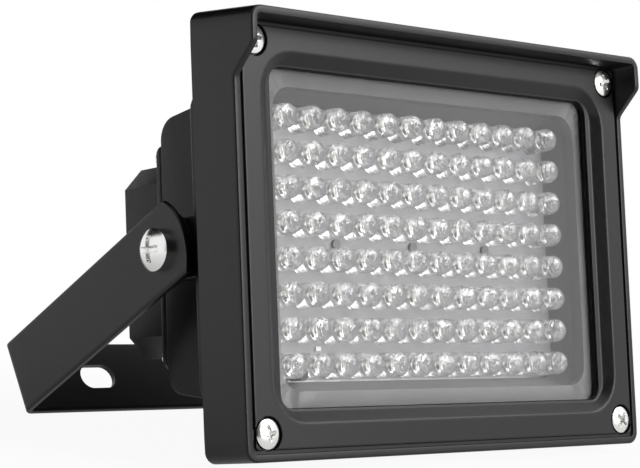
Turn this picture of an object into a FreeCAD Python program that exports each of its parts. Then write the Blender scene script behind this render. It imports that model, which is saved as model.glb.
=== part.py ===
"""Infrared illuminator: a grid of domed emitters behind glass, in a hooded cast housing on a U-bracket.

Lengths are millimetres. The lamp head is drawn in its own frame: X to the right, Y from the front rim towards
the back, Z up the face of the lamp, origin in the middle of the window on the front rim. The bracket is drawn
flat, with its origin on the pivot axis and its arms along Y. Both are then leaned so that the lamp stands as
it is put down: on the lower back edge of its bezel and the lower edge of its bracket.
"""
import FreeCAD
import Part
import Sketcher
import math
import os

V = FreeCAD.Vector
doc = FreeCAD.newDocument("infrared_illuminator")
sheet = doc.addObject("Spreadsheet::Sheet", "Sizes")

# Places closer than this count as the same place.
CLOSE = 0.05

# Sizes that are set by themselves.
SIZES = [
    # emitters
    ("led_columns", 12), ("led_rows", 8), ("led_lens", 7.6), ("led_flange", 8.2), ("led_gap", 2.3),
    ("led_height", 11.0), ("led_rim", 1.2), ("led_sides", 8), ("led_tip_side", 2.0), ("led_tip_rise", 2.6),
    # window and the pieces behind it
    ("window_side", 12.35), ("window_rise", 12.65), ("window_round", 7.0), ("lip_front", 2.6),
    ("lip_wall", 1.0), ("seal_thick", 0.6), ("seal_show", 0.3), ("glass_thick", 2.5), ("led_air", 0.5),
    ("tray_flange", 4.5), ("tray_wall", 0.7), ("tray_lean", 24.0), ("border_side", 3.4),
    ("border_rise", 5.0), ("seat_edge", 3.9), ("fit_gap", 0.4),
    # bezel
    ("rail_side", 15.9), ("rail_bottom", 14.8), ("rail_top", 17.0), ("bezel_taper", 0.2),
    ("bezel_round", 4.0), ("slope_side", 5.6), ("slope_rise", 4.2), ("slope_angle", 55.0), ("rim_width", 2.3),
    ("groove_width", 1.2), ("groove_depth", 0.8), ("skirt_wall", 3.8), ("skirt_round", 3.0),
    ("hood_reach", 8.6), ("hood_drop", 2.3), ("hood_thick", 4.7), ("wing_foot", 45.2), ("wing_knee", 53.5),
    # bezel screws
    ("screw_inset", 8.3), ("screw_rise", 6.8), ("screw_head", 8.5), ("screw_crown", 5.2),
    ("screw_edge", 1.3), ("screw_proud", 0.6), ("screw_size", 4.0), ("screw_room", 0.15),
    ("sink_room", 0.75), ("sink_depth", 2.2), ("screw_spare", 0.3), ("recess_length", 4.4),
    ("recess_width", 0.9), ("recess_depth", 1.4),
    # board and heat spreader
    ("board_sink", 0.5), ("board_thick", 1.6), ("board_round", 3.0), ("board_room", 0.6),
    ("spreader_thick", 3.0), ("board_screw_step", 33.0), ("board_screw", 3.2), ("board_screw_head", 0.9),
    ("board_pin", 1.8), ("board_lap", 0.3), ("sensor_size", 3.7), ("sensor_high", 5.0),
    ("sensor_drop", 2.55), ("chip_long", 2.0), ("chip_wide", 1.25), ("chip_high", 0.6),
    # rear housing
    ("plate_thick", 3.0), ("flange_room", 5.8), ("shell_wall", 1.5), ("sleeve_gap", 0.1),
    ("flange_reach", 17.9), ("flange_roof", 3.8), ("flange_round", 6.0), ("cavity_round", 1.5),
    ("body_step_in", 12.5), ("body_step_down", 0.3), ("body_reach", 29.4), ("body_draft", 8.6),
    ("body_round", 7.0), ("back_wall", 3.0), ("post_size", 8.0), ("post_inset", 2.4), ("post_pin", 2.5),
    ("post_head", 4.0), ("post_head_high", 1.5), ("post_hole_depth", 8.0), ("back_open_inset", 9.0),
    ("gasket_thick", 0.7), ("gasket_width", 6.0),
    # pivot
    ("pivot_reach", 11.9), ("pad_width", 18.4), ("washer_size", 24.0), ("washer_thick", 1.5),
    ("bolt_size", 6.0), ("bolt_head", 13.0), ("bolt_crown", 8.0), ("bolt_edge", 1.8), ("bolt_rise", 4.4),
    ("bolt_grip", 11.0), ("bolt_recess_length", 7.0), ("bolt_recess_width", 1.4),
    ("bolt_recess_depth", 2.0), ("turn_gap", 0.06),
    # rear cover
    ("cover_seal", 0.6), ("cover_side", 0.3), ("cover_rise", 7.0), ("cover_thick", 2.3),
    ("cover_round", 3.0), ("box_side", 5.7), ("box_rise", 4.5), ("box_corner", 6.7), ("box_reach", 24.1),
    ("box_wall", 2.5), ("cover_screw_in", 4.2), ("cover_screw", 3.0), ("cover_screw_head", 5.4),
    ("cover_head_high", 2.0),
    # driver
    ("driver_inset", 10.0), ("driver_rise", 9.0), ("driver_back", 14.0), ("driver_thick", 1.6),
    ("pillar_size", 6.0), ("pillar_in", 5.0), ("driver_screw", 3.0), ("driver_head", 5.5),
    ("driver_head_high", 1.8), ("can_size", 12.0), ("can_high", 17.0), ("can_step", 22.0), ("can_up", 12.0),
    ("coil_size", 18.0), ("coil_bore", 8.0), ("coil_high", 8.0), ("block_long", 16.0), ("block_wide", 8.0),
    ("block_high", 10.0), ("block_drop", 22.0), ("driver_bite", 6.0),
    # cable gland
    ("gland_size", 16.0), ("gland_flat", 20.0), ("gland_flange", 4.0), ("gland_bore", 11.0),
    ("gland_stub", 6.0), ("gland_neck", 5.0), ("nut_flat", 22.0), ("nut_thick", 3.0), ("cap_flat", 22.0),
    ("cap_wall", 1.5), ("cap_mouth", 8.5), ("seal_bore", 6.5), ("seal_long", 6.0),
    # bracket
    ("sheet_thick", 2.0), ("strip_width", 24.6), ("arm_reach", 85.5), ("arm_arc", 20.0),
    ("arm_arc_back", 7.8), ("arm_round", 2.5), ("bend_inside", 3.0), ("slot_long", 14.0),
    ("slot_wide", 8.6), ("slot_step", 43.0), ("bracket_drop", 24.6),
    # how far a cut runs past the metal that it removes
    ("cut_margin", 2.0),
]

# Sizes that follow from the others, so that what fits together stays together.
FOLLOWING = [
    ("led_pitch", "led_flange + led_gap"), ("grid_width", "(led_columns - 1) * led_pitch"),
    ("grid_height", "(led_rows - 1) * led_pitch"), ("window_width", "grid_width + 2 * window_side"),
    ("window_height", "grid_height + 2 * window_rise"), ("lip_back", "lip_front + lip_wall"),
    ("glass_front", "lip_back + seal_thick"), ("frame_front", "glass_front + glass_thick"),
    ("board_front", "frame_front + led_air + led_height"), ("bezel_depth", "board_front + board_sink"),
    ("plate_front", "bezel_depth - plate_thick"), ("tray_front", "plate_front - tray_flange"),
    ("frame_thick", "tray_front - frame_front"), ("tray_depth", "board_front - tray_front"),
    ("sleeve_reach", "board_front - plate_front"), ("seat_width", "window_width + 2 * seat_edge"),
    ("seat_height", "window_height + 2 * seat_edge"), ("seat_round", "window_round + seat_edge"),
    ("seat_depth", "bezel_depth - lip_back"), ("pane_width", "seat_width - 2 * fit_gap"),
    ("pane_height", "seat_height - 2 * fit_gap"), ("pane_round", "seat_round - fit_gap"),
    ("seal_width", "window_width - 2 * seal_show"), ("seal_height", "window_height - 2 * seal_show"),
    ("seal_round", "window_round - seal_show"), ("mouth_width", "window_width - 2 * border_side"),
    ("mouth_height", "window_height - 2 * border_rise"),
    ("tray_shrink", "tray_depth * tan(tray_lean * 1 deg)"),
    ("floor_height", "mouth_height - 2 * tray_shrink"),
    ("neck_shrink", "tray_flange * tan(tray_lean * 1 deg)"),
    ("sleeve_width", "mouth_width - 2 * neck_shrink + 2 * tray_wall"),
    ("sleeve_height", "mouth_height - 2 * neck_shrink + 2 * tray_wall"),
    ("sleeve_round", "window_round - neck_shrink + tray_wall"),
    # bezel
    ("bezel_width", "window_width + 2 * rail_side"), ("bezel_half", "bezel_width / 2"),
    ("bezel_left", "-bezel_half"), ("cut_across", "bezel_width + 2 * cut_margin"),
    ("bezel_low", "-(window_height / 2 + rail_bottom)"), ("bezel_high", "window_height / 2 + rail_top"),
    ("block_depth", "bezel_depth + hood_reach"), ("hood_front", "-hood_reach"),
    ("hood_rate", "hood_drop / block_depth"), ("cut_front", "hood_front - cut_margin"),
    ("cut_back", "bezel_depth + cut_margin"),
    ("cut_front_high", "bezel_high - hood_drop - cut_margin * hood_rate"),
    ("cut_back_high", "bezel_high + cut_margin * hood_rate"), ("cut_top", "cut_back_high + cut_margin"),
    ("cut_low", "bezel_low - cut_margin"), ("face_half", "bezel_half - rim_width"),
    ("face_left", "-face_half"), ("face_low", "bezel_low + rim_width"),
    ("face_high", "bezel_high - hood_thick"), ("hollow_depth", "hood_reach + cut_margin"),
    ("hollow_low", "wing_foot - 2 * cut_margin"), ("inner_half", "face_half - groove_width"),
    ("inner_left", "-inner_half"), ("inner_low", "face_low + groove_width"),
    ("inner_high", "face_high - groove_width"), ("slope_width", "window_width + 2 * slope_side"),
    ("slope_height", "window_height + 2 * slope_rise"), ("slope_round", "window_round + slope_side"),
    ("skirt_half", "bezel_half - skirt_wall"), ("skirt_low", "bezel_low + skirt_wall"),
    ("skirt_width", "2 * skirt_half"), ("skirt_height", "-2 * skirt_low"),
    ("skirt_depth", "plate_thick + gasket_thick"), ("plate_width", "skirt_width - 2 * fit_gap"),
    ("plate_height", "skirt_height - 2 * fit_gap"), ("gasket_front", "plate_front - gasket_thick"),
    ("gasket_inner_width", "plate_width - 2 * gasket_width"),
    ("gasket_inner_height", "plate_height - 2 * gasket_width"),
    # bezel screws
    ("screw_side", "bezel_half - screw_inset"), ("screw_height", "window_height / 2 + screw_rise"),
    ("screw_hole", "screw_size + 2 * screw_room"), ("sink_size", "screw_head + 2 * sink_room"),
    ("screw_end", "bezel_depth - screw_spare"), ("screw_top", "-screw_proud"),
    ("screw_shoulder", "sink_depth - screw_edge"), ("screw_radius", "screw_size / 2"),
    ("screw_head_radius", "screw_head / 2"), ("screw_crown_radius", "screw_crown / 2"),
    # rear housing
    ("flange_width", "mouth_width + 2 * flange_room"), ("cavity_height", "sleeve_height + 2 * sleeve_gap"),
    ("cavity_width", "flange_width - 2 * shell_wall"), ("flange_height", "cavity_height + 2 * flange_roof"),
    ("body_width", "flange_width - 2 * body_step_in"), ("bay_width", "body_width - 2 * shell_wall"),
    ("body_root", "flange_height / 2 - body_step_down"), ("body_root_low", "-body_root"),
    ("body_tail", "body_root - body_reach * tan(body_draft * 1 deg)"), ("body_tail_low", "-body_tail"),
    ("body_step", "bezel_depth + flange_reach"), ("body_back", "body_step + body_reach"),
    ("flange_floor", "body_step - shell_wall"), ("wall_front", "body_back - back_wall"),
    ("flange_length", "body_step - plate_front"), ("cavity_depth", "flange_floor - plate_front"),
    ("back_open_width", "cover_width - 2 * back_open_inset"),
    ("back_open_height", "cover_height - 2 * back_open_inset"),
    ("back_open_depth", "back_wall + cut_margin"), ("board_back", "board_front + board_thick"),
    ("spreader_back", "board_back + spreader_thick"), ("board_width", "sleeve_width + 2 * board_lap"),
    ("board_height", "floor_height - 2 * board_room"), ("spreader_width", "cavity_width - 2 * board_room"),
    ("spreader_height", "cavity_height - 2 * board_room"), ("post_length", "flange_floor - spreader_back"),
    ("post_side", "spreader_width / 2 - post_inset"), ("post_high", "spreader_height / 2 - post_inset"),
    ("post_hole", "post_pin + 2 * screw_room"), ("post_pin_radius", "post_pin / 2"),
    ("post_head_radius", "post_head / 2"), ("post_screw_top", "board_back - post_head_high"),
    ("post_screw_end", "spreader_back + post_hole_depth - screw_spare"),
    ("bay_round", "body_round - shell_wall"), ("bay_bend", "wall_front - bay_round"),
    ("bay_bend_high", "bay_high - bay_round"), ("bay_bend_low", "-bay_bend_high"),
    ("bay_high", "body_tail - shell_wall"), ("bay_low", "-bay_high"), ("bay_root", "cavity_height / 2"),
    ("bay_root_low", "-bay_root"),
    # pivot
    ("pivot_back", "body_step + pivot_reach"), ("pad_low", "-pad_width / 2"), ("pad_high", "pad_width / 2"),
    ("bolt_hole_depth", "bolt_grip + screw_spare"), ("flange_half", "flange_width / 2"),
    ("washer_outer", "washer_size / 2"), ("bolt_radius", "bolt_size / 2"),
    ("washer_bore", "bolt_radius + turn_gap"), ("arm_inner", "flange_half + washer_thick"),
    ("arm_outer", "arm_inner + sheet_thick"), ("bolt_top", "arm_outer + bolt_rise"),
    ("bolt_shoulder", "arm_outer + bolt_edge"), ("bolt_end", "flange_half - bolt_grip"),
    ("bolt_head_radius", "bolt_head / 2"), ("bolt_crown_radius", "bolt_crown / 2"),
    ("turn_hole", "2 * washer_bore"),
    # rear cover
    ("cover_width", "body_width - 2 * cover_side"), ("cover_height", "2 * (body_tail - cover_rise)"),
    ("cover_front", "body_back + cover_seal"), ("cover_back", "cover_front + cover_thick"),
    ("box_width", "cover_width - 2 * box_side"), ("box_height", "cover_height - 2 * box_rise"),
    ("box_half", "box_width / 2"), ("box_half_high", "box_height / 2"), ("box_left", "-box_half"),
    ("box_low", "-box_half_high"), ("box_side_top", "box_half_high - box_corner"),
    ("box_side_low", "-box_side_top"), ("box_top_right", "box_half - box_corner"),
    ("box_top_left", "-box_top_right"), ("box_length", "box_reach + cover_thick"),
    ("box_back", "cover_back + box_reach"), ("well_width", "box_width - 2 * box_wall"),
    ("well_height", "box_height - 2 * box_wall"), ("well_back", "box_back - box_wall"),
    ("well_depth", "well_back - cover_front"), ("cover_screw_side", "cover_width / 2 - cover_screw_in"),
    ("cover_screw_high", "cover_height / 2 - cover_screw_in"),
    ("cover_screw_hole", "cover_screw + 2 * screw_room"),
    ("cover_screw_top", "cover_back + cover_head_high"), ("cover_screw_end", "wall_front + screw_spare"),
    ("cover_screw_radius", "cover_screw / 2"), ("cover_head_radius", "cover_screw_head / 2"),
    # driver
    ("driver_width", "bay_width - 2 * driver_inset"), ("driver_height", "cavity_height - 2 * driver_rise"),
    ("driver_front", "spreader_back + driver_back"), ("driver_rear", "driver_front + driver_thick"),
    ("pillar_side", "driver_width / 2 - pillar_in"), ("pillar_high", "driver_height / 2 - pillar_in"),
    ("pillar_radius", "pillar_size / 2"), ("driver_screw_radius", "driver_screw / 2"),
    ("driver_head_radius", "driver_head / 2"), ("driver_screw_top", "driver_rear + driver_head_high"),
    ("driver_screw_end", "driver_front - driver_bite"), ("driver_hole", "driver_screw + 2 * screw_room"),
    ("driver_bore", "driver_screw_radius + screw_room"), ("can_radius", "can_size / 2"),
    ("coil_radius", "coil_size / 2"), ("coil_hole", "coil_bore / 2"), ("block_left", "-block_long / 2"),
    ("block_low", "-block_drop"),
    # board details
    ("board_hole", "board_pin + 2 * screw_room"), ("board_pin_radius", "board_pin / 2"),
    ("board_screw_radius", "board_screw / 2"), ("board_screw_top", "board_front - board_screw_head"),
    ("sensor_radius", "sensor_size / 2"), ("sensor_left", "(led_pitch - grid_width) / 2"),
    ("sensor_low", "-grid_height / 2 - sensor_drop"), ("sensor_front", "board_front - sensor_high"),
    ("chip_left", "(3 * led_pitch - grid_width - chip_long) / 2"),
    ("chip_low", "(led_pitch - grid_height - chip_wide) / 2"), ("chip_front", "board_front - chip_high"),
    ("led_left", "-grid_width / 2"), ("led_low", "-grid_height / 2"), ("led_lens_radius", "led_lens / 2"),
    ("led_flange_radius", "led_flange / 2"),
    # cable gland
    ("gland_hole", "gland_size + 2 * screw_room"), ("gland_hole_radius", "gland_hole / 2"),
    ("gland_radius", "gland_size / 2"), ("gland_back", "box_back + gland_flange"),
    ("gland_tip", "gland_back + gland_neck"), ("gland_inner", "well_back - gland_stub"),
    ("gland_length", "gland_tip - gland_inner"), ("gland_bore_radius", "gland_bore / 2"),
    ("nut_front", "well_back - nut_thick"), ("cap_room", "gland_neck + fit_gap"),
    ("cap_long", "cap_room + cap_wall"), ("gland_hex", "gland_flat / 2 / cos(30 deg)"),
    ("nut_hex", "nut_flat / 2 / cos(30 deg)"), ("cap_hex", "cap_flat / 2 / cos(30 deg)"),
    ("cap_mouth_radius", "cap_mouth / 2"), ("seal_bore_radius", "seal_bore / 2"),
    ("seal_front", "gland_tip - seal_long"),
    # bracket
    ("arm_nose", "arm_arc_back - arm_arc - cut_margin"), ("base_inner", "arm_reach - sheet_thick"),
    ("arm_outer_left", "-arm_outer"), ("arm_inner_left", "-arm_inner"),
    ("bend_outside", "bend_inside + sheet_thick"), ("strip_half", "strip_width / 2"),
     ("nose_half", "strip_half + cut_margin / 2"), ("nose_low", "-nose_half"),
    ("nose_meet", "arm_arc_back - sqrt(arm_arc ^ 2 - nose_half ^ 2)"),
    ("nose_far", "arm_nose - cut_margin"),
    ("arm_corner", "arm_arc_back - sqrt(arm_arc ^ 2 - strip_half ^ 2)"),
    ("slot_inner", "slot_step - (slot_long - slot_wide) / 2"),
    ("slot_outer", "slot_step + (slot_long - slot_wide) / 2"), ("slot_inner_left", "-slot_inner"),
    ("slot_outer_left", "-slot_outer"), ("slot_half", "slot_wide / 2"), ("slot_low", "-slot_half"),
    # how the lamp leans: the line from the bezel's lower back edge to the bracket's lower edge lies level
   
    ("foot_back", "pivot_back + arm_reach * cos(bracket_drop * 1 deg) - strip_half * sin(bracket_drop * 1 deg)"),
    ("foot_low", "-arm_reach * sin(bracket_drop * 1 deg) - strip_half * cos(bracket_drop * 1 deg)"),
    ("lean_rate", "(foot_low - bezel_low) / (foot_back - bezel_depth)"),
    ("lean", "atan(lean_rate) / 1 deg"),
    ("stand_up", "bezel_depth * sin(lean * 1 deg) - bezel_low * cos(lean * 1 deg)"),
    ("pivot_world_back", "pivot_back * cos(lean * 1 deg) + stand_back"),
    ("pivot_world_up", "stand_up - pivot_back * sin(lean * 1 deg)"),
    ("bracket_turn", "lean + bracket_drop"),
]


def fill_sheet():
    """Write each size with its name, then each following size as a formula of those names."""
    row = 1
    for alias, number in SIZES + [("stand_back", 0)]:
        sheet.set(f"A{row}", alias)
        sheet.set(f"B{row}", str(number))
        sheet.setAlias(f"B{row}", alias)
        row += 1
    for alias, formula in FOLLOWING:
        sheet.set(f"A{row}", alias)
        sheet.setAlias(f"B{row}", alias)
        row += 1
    doc.recompute()
    row = 1 + len(SIZES) + 1
    for alias, formula in FOLLOWING:
        sheet.set(f"B{row}", "=" + formula)
        row += 1
    doc.recompute()


def size(alias):
    """The present value of a named size."""
    return float(sheet.get(alias))


def tie(thing, **properties):
    """Bind properties of an object to named sizes; a leading minus turns the size round."""
    for name, alias in properties.items():
        sign = "-" if alias.startswith("-") else ""
        thing.setExpression(name.replace("__", "."), sign + "Sizes." + alias.lstrip("-"))
    return thing


def plane_of(body, role):
    """One of a body's own three planes."""
    return [part for part in body.Origin.OriginFeatures if part.Role == role][0]


def new_body(name):
    """A body that may hold several separate solids, for pieces that repeat."""
    body = doc.addObject("PartDesign::Body", name)
    body.AllowCompound = True
    return body


def sketch_on(body, plane, offset=None, along=(None, None)):
    """A sketch on one of the body's own planes, moved off it and within it by named sizes."""
    sketch = body.newObject("Sketcher::SketchObject", "Sketch")
    sketch.AttachmentSupport = [(plane_of(body, plane), "")]
    sketch.MapMode = "FlatFace"
    for axis, alias in zip("xyz", (*along, offset)):
        if alias:
            tie(sketch, **{"AttachmentOffset__Base__" + axis: alias})
    return sketch


def face_sketch(body, depth=None, along=(None, None)):
    """A sketch that looks at the lamp's face, at a named depth behind the front rim."""
    return sketch_on(body, "XZ_Plane", "-" + depth if depth else None, along)


def pin_point(sketch, line, end, across, up):
    """Hold one end of a line at named distances from the sketch's origin."""
    for kind, alias in (("DistanceX", across), ("DistanceY", up)):
        start = size(alias) if alias else 0.0
        index = sketch.addConstraint(Sketcher.Constraint(kind, -1, 1, line, end, start))
        if alias:
            sketch.setExpression(f"Constraints[{index}]", "Sizes." + alias)


def polygon(sketch, corners):
    """A closed outline through corners that are pairs of named sizes, None for zero."""
    spots = [V(*(size(alias) if alias else 0.0 for alias in corner), 0) for corner in corners]
    first = sketch.GeometryCount
    count = len(spots)
    for k in range(count):
        sketch.addGeometry(Part.LineSegment(spots[k], spots[(k + 1) % count]))
    for k in range(count):
        sketch.addConstraint(Sketcher.Constraint("Coincident", first + k, 2, first + (k + 1) % count, 1))
        pin_point(sketch, first + k, 1, *corners[k])


def rounded(sketch, width, height, corner):
    """A rectangle about the sketch's origin with rounded corners: four sides joined by four tangent arcs."""
    w, up, r = size(width) / 2, size(height) / 2, size(corner)
    first = sketch.GeometryCount
    ends = [((r - w, -up), (w - r, -up)), ((w, r - up), (w, up - r)), ((w - r, up), (r - w, up)),
            ((-w, up - r), (-w, r - up))]
    centres = [(w - r, r - up), (w - r, up - r), (r - w, up - r), (r - w, r - up)]
    quarter = math.pi / 2
    for start, end in ends:
        sketch.addGeometry(Part.LineSegment(V(*start, 0), V(*end, 0)))
    for k, centre in enumerate(centres):
        circle = Part.Circle(V(*centre, 0), V(0, 0, 1), r)
        sketch.addGeometry(Part.ArcOfCircle(circle, (k - 1) * quarter, k * quarter))
    for k in range(4):
        side, arc, following = first + k, first + 4 + k, first + (k + 1) % 4
        sketch.addConstraint(Sketcher.Constraint("Tangent", side, 2, arc, 1))
        sketch.addConstraint(Sketcher.Constraint("Tangent", arc, 2, following, 1))
        sketch.addConstraint(Sketcher.Constraint("Vertical" if k % 2 else "Horizontal", side))
        if k:
            sketch.addConstraint(Sketcher.Constraint("Equal", first + 4, arc))
    sketch.addConstraint(Sketcher.Constraint("Symmetric", first + 4, 3, first + 6, 3, -1, 1))
    radius = sketch.addConstraint(Sketcher.Constraint("Radius", first + 4, r))
    across = sketch.addConstraint(Sketcher.Constraint("DistanceX", first + 3, 1, first + 1, 1, 2 * w))
    tall = sketch.addConstraint(Sketcher.Constraint("DistanceY", first, 1, first + 2, 1, 2 * up))
    for index, alias in ((radius, corner), (across, width), (tall, height)):
        sketch.setExpression(f"Constraints[{index}]", "Sizes." + alias)


def circle_at(sketch, across, up, diameter):
    """A circle of a named diameter at a named place; a leading minus puts it on the other side."""
    signs = ["-" if alias and alias.startswith("-") else "" for alias in (across, up)]
    names = [alias.lstrip("-") if alias else None for alias in (across, up)]
    place = [(-1 if sign else 1) * size(alias) if alias else 0.0 for sign, alias in zip(signs, names)]
    first = sketch.GeometryCount
    sketch.addGeometry(Part.Circle(V(*place, 0), V(0, 0, 1), size(diameter) / 2))
    index = sketch.addConstraint(Sketcher.Constraint("Diameter", first, size(diameter)))
    sketch.setExpression(f"Constraints[{index}]", "Sizes." + diameter)
    for kind, sign, alias, start in zip(("DistanceX", "DistanceY"), signs, names, place):
        index = sketch.addConstraint(Sketcher.Constraint(kind, -1, 1, first, 3, start))
        if alias:
            sketch.setExpression(f"Constraints[{index}]", sign + "Sizes." + alias)


def four_circles(sketch, side, up, diameter):
    """One circle in each corner, mirrored about both axes."""
    for across in (side, "-" + side):
        for high in (up, "-" + up):
            circle_at(sketch, across, high, diameter)


def pad(body, sketch, length, back=True, middle=False, **ties):
    """Grow a sketch by a named length: towards the back, or both ways about its plane."""
    feature = body.newObject("PartDesign::Pad", "Pad")
    feature.Profile = sketch
    feature.Reversed = back and not middle
    feature.SideType = 2 if middle else 0
    tie(feature, Length=length, **ties)
    body.Tip = feature
    doc.recompute()
    return feature


def pocket(body, sketch, depth, back=True, middle=False, **ties):
    """Cut a sketch to a named depth and make sure that metal goes."""
    before = body.Shape.Volume
    feature = body.newObject("PartDesign::Pocket", "Pocket")
    feature.Profile = sketch
    feature.Reversed = not back and not middle
    feature.SideType = 2 if middle else 0
    tie(feature, Length=depth, **ties)
    body.Tip = feature
    doc.recompute()
    assert body.Shape.Volume < before, f"a cut in {body.Name} removes nothing"
    return feature


def edges_where(shape, test):
    """Names of the edges whose two ends and middle all pass a test."""
    found = []
    for number, edge in enumerate(shape.Edges, 1):
        middle = edge.valueAt((edge.FirstParameter + edge.LastParameter) / 2)
        if test([edge.valueAt(edge.FirstParameter), middle, edge.valueAt(edge.LastParameter)]):
            found.append(f"Edge{number}")
    return found


def dress(body, kind, test, **ties):
    """Fillet or chamfer the edges that pass a test."""
    base = body.Tip
    names = edges_where(base.Shape, test)
    assert names, f"no edge to dress in {body.Name}"
    feature = body.newObject("PartDesign::" + kind, kind)
    feature.Base = (base, names)
    tie(feature, **ties)
    body.Tip = feature
    doc.recompute()
    return feature


def near(value, alias):
    """Whether a coordinate is at a named size."""
    return abs(value - size(alias)) < CLOSE


def turned(name, corners, axis, along=(None, None), offset=None):
    """A turned piece: half a profile on the XY plane, spun about its own axis."""
    body = new_body(name)
    sketch = sketch_on(body, "XY_Plane", offset, along)
    polygon(sketch, corners)
    feature = body.newObject("PartDesign::Revolution", "Turn")
    feature.Profile = sketch
    feature.ReferenceAxis = (sketch, [axis])
    feature.Angle = 360
    body.Tip = feature
    doc.recompute()
    return body


def mirrored(shape, name, normal):
    """The mirror image of a piece about the middle of the lamp."""
    twin = doc.addObject("Part::Mirroring", name + "_twin")
    twin.Source = shape
    twin.Normal = normal
    return twin


def pair(shape, name, normal=V(1, 0, 0)):
    """A piece and its mirror image, as two separate solids."""
    both = doc.addObject("Part::Compound", name)
    both.Links = [shape, mirrored(shape, name, normal)]
    doc.recompute()
    return both


def four(shape, name):
    """A piece in all four corners."""
    return pair(pair(shape, name + "_right"), name, V(0, 0, 1))


def cylinder(name, radius, height, across=None, deep=None, up=None, turn=(V(1, 0, 0), -90)):
    """A round bar that starts at a named place and runs to the back unless it is turned otherwise."""
    bar = doc.addObject("Part::Cylinder", name)
    bar.Placement.Rotation = FreeCAD.Rotation(*turn)
    tie(bar, Radius=radius, Height=height)
    for axis, alias in zip("xyz", (across, deep, up)):
        if alias:
            tie(bar, **{"Placement__Base__" + axis: alias})
    return bar


def hexagon(name, radius, height, deep, sides=6):
    """A prism about the lamp's middle axis that runs to the back from a named depth."""
    bar = doc.addObject("Part::Prism", name)
    bar.Polygon = sides
    bar.Placement.Rotation = FreeCAD.Rotation(V(1, 0, 0), -90)
    return tie(bar, Circumradius=radius, Height=height, Placement__Base__y=deep)


def cut(name, base, tool):
    """One solid less another."""
    result = doc.addObject("Part::Cut", name)
    result.Base = base
    result.Tool = tool
    doc.recompute()
    assert result.Shape.Volume < base.Shape.Volume, f"the cut of {name} removes nothing"
    return result


def fuse(name, *shapes):
    """Several solids joined into one."""
    result = doc.addObject("Part::MultiFuse", name)
    result.Shapes = list(shapes)
    doc.recompute()
    return result


def slab(name, width, height, corner, depth, thick):
    """A flat piece with rounded corners that faces the front."""
    body = new_body(name)
    sketch = face_sketch(body, depth)
    rounded(sketch, width, height, corner)
    pad(body, sketch, thick)
    return body


def opening(body, width, height, corner, depth, length, **ties):
    """A rounded opening cut towards the back from a named depth."""
    sketch = face_sketch(body, depth)
    rounded(sketch, width, height, corner)
    return pocket(body, sketch, length, **ties)


def cross_recess(body, plane, offset, along, length, width, depth, back):
    """The cross in a screw's head: two crossed slots."""
    for wide, tall in ((length, width), (width, length)):
        sketch = sketch_on(body, plane, offset, along)
        w, up = size(wide) / 2, size(tall) / 2
        corners = [V(-w, -up, 0), V(w, -up, 0), V(w, up, 0), V(-w, up, 0)]
        for k in range(4):
            sketch.addGeometry(Part.LineSegment(corners[k], corners[(k + 1) % 4]))
            sketch.addConstraint(Sketcher.Constraint("Vertical" if k % 2 else "Horizontal", k))
        for k in range(4):
            sketch.addConstraint(Sketcher.Constraint("Coincident", k, 2, (k + 1) % 4, 1))
        sketch.addConstraint(Sketcher.Constraint("Symmetric", 0, 1, 2, 1, -1, 1))
        for kind, line, alias, reach in (("DistanceX", 0, wide, 2 * w), ("DistanceY", 1, tall, 2 * up)):
            index = sketch.addConstraint(Sketcher.Constraint(kind, line, 1, line, 2, reach))
            sketch.setExpression(f"Constraints[{index}]", "Sizes." + alias)
        pocket(body, sketch, depth, back)


def front_bezel():
    """Die-cast frame: a tapered block whose front is cut back to leave a hood with two bevelled wings."""
    body = new_body("front_bezel")
    sketch = face_sketch(body, "bezel_depth")
    polygon(sketch, [("bezel_left", "bezel_low"), ("bezel_half", "bezel_low"), ("bezel_half", "bezel_high"),
                     ("bezel_left", "bezel_high")])
    pad(body, sketch, "block_depth", back=False, TaperAngle="-bezel_taper")
    profile = sketch_on(body, "YZ_Plane")
    polygon(profile, [("cut_front", "cut_front_high"), ("cut_back", "cut_back_high"), ("cut_back", "cut_top"),
                      ("cut_front", "cut_top")])
    pocket(body, profile, "cut_across", middle=True)
    profile = sketch_on(body, "YZ_Plane")
    polygon(profile, [(None, "cut_low"), (None, "wing_foot"), ("hood_front", "wing_knee"),
                      ("cut_front", "wing_knee"), ("cut_front", "cut_low")])
    pocket(body, profile, "cut_across", middle=True)
    high = size("cut_front_high") - size("rim_width")
    dress(body, "Fillet", lambda ends: all(abs(p.x) > size("face_half") for p in ends)
          and (all(p.z < size("face_low") for p in ends) or all(p.z > high for p in ends))
          and abs(ends[0].y - ends[2].y) > size("hood_reach"), Radius="bezel_round")
    hollow = face_sketch(body, "cut_front")
    polygon(hollow, [("face_left", "hollow_low"), ("face_half", "hollow_low"), ("face_half", "face_high"),
                     ("face_left", "face_high")])
    pocket(body, hollow, "hollow_depth")
    groove = face_sketch(body)
    polygon(groove, [("face_left", "face_low"), ("face_half", "face_low"), ("face_half", "face_high"),
                     ("face_left", "face_high")])
    polygon(groove, [("inner_left", "inner_low"), ("inner_half", "inner_low"), ("inner_half", "inner_high"),
                     ("inner_left", "inner_high")])
    pocket(body, groove, "groove_depth")
    opening(body, "slope_width", "slope_height", "slope_round", None, "lip_front", TaperAngle="-slope_angle")
    opening(body, "window_width", "window_height", "window_round", None, "bezel_depth")
    opening(body, "seat_width", "seat_height", "seat_round", "lip_back", "seat_depth")
    opening(body, "skirt_width", "skirt_height", "skirt_round", "gasket_front", "skirt_depth")
    for diameter, depth in (("sink_size", "sink_depth"), ("screw_hole", "bezel_depth")):
        sketch = face_sketch(body)
        four_circles(sketch, "screw_side", "screw_height", diameter)
        pocket(body, sketch, depth)
    return body


def ring(name, outer, inner, depth, thick):
    """A flat frame: a rounded slab with a rounded opening."""
    body = slab(name, *outer, depth, thick)
    opening(body, *inner, depth, thick)
    return body


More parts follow.
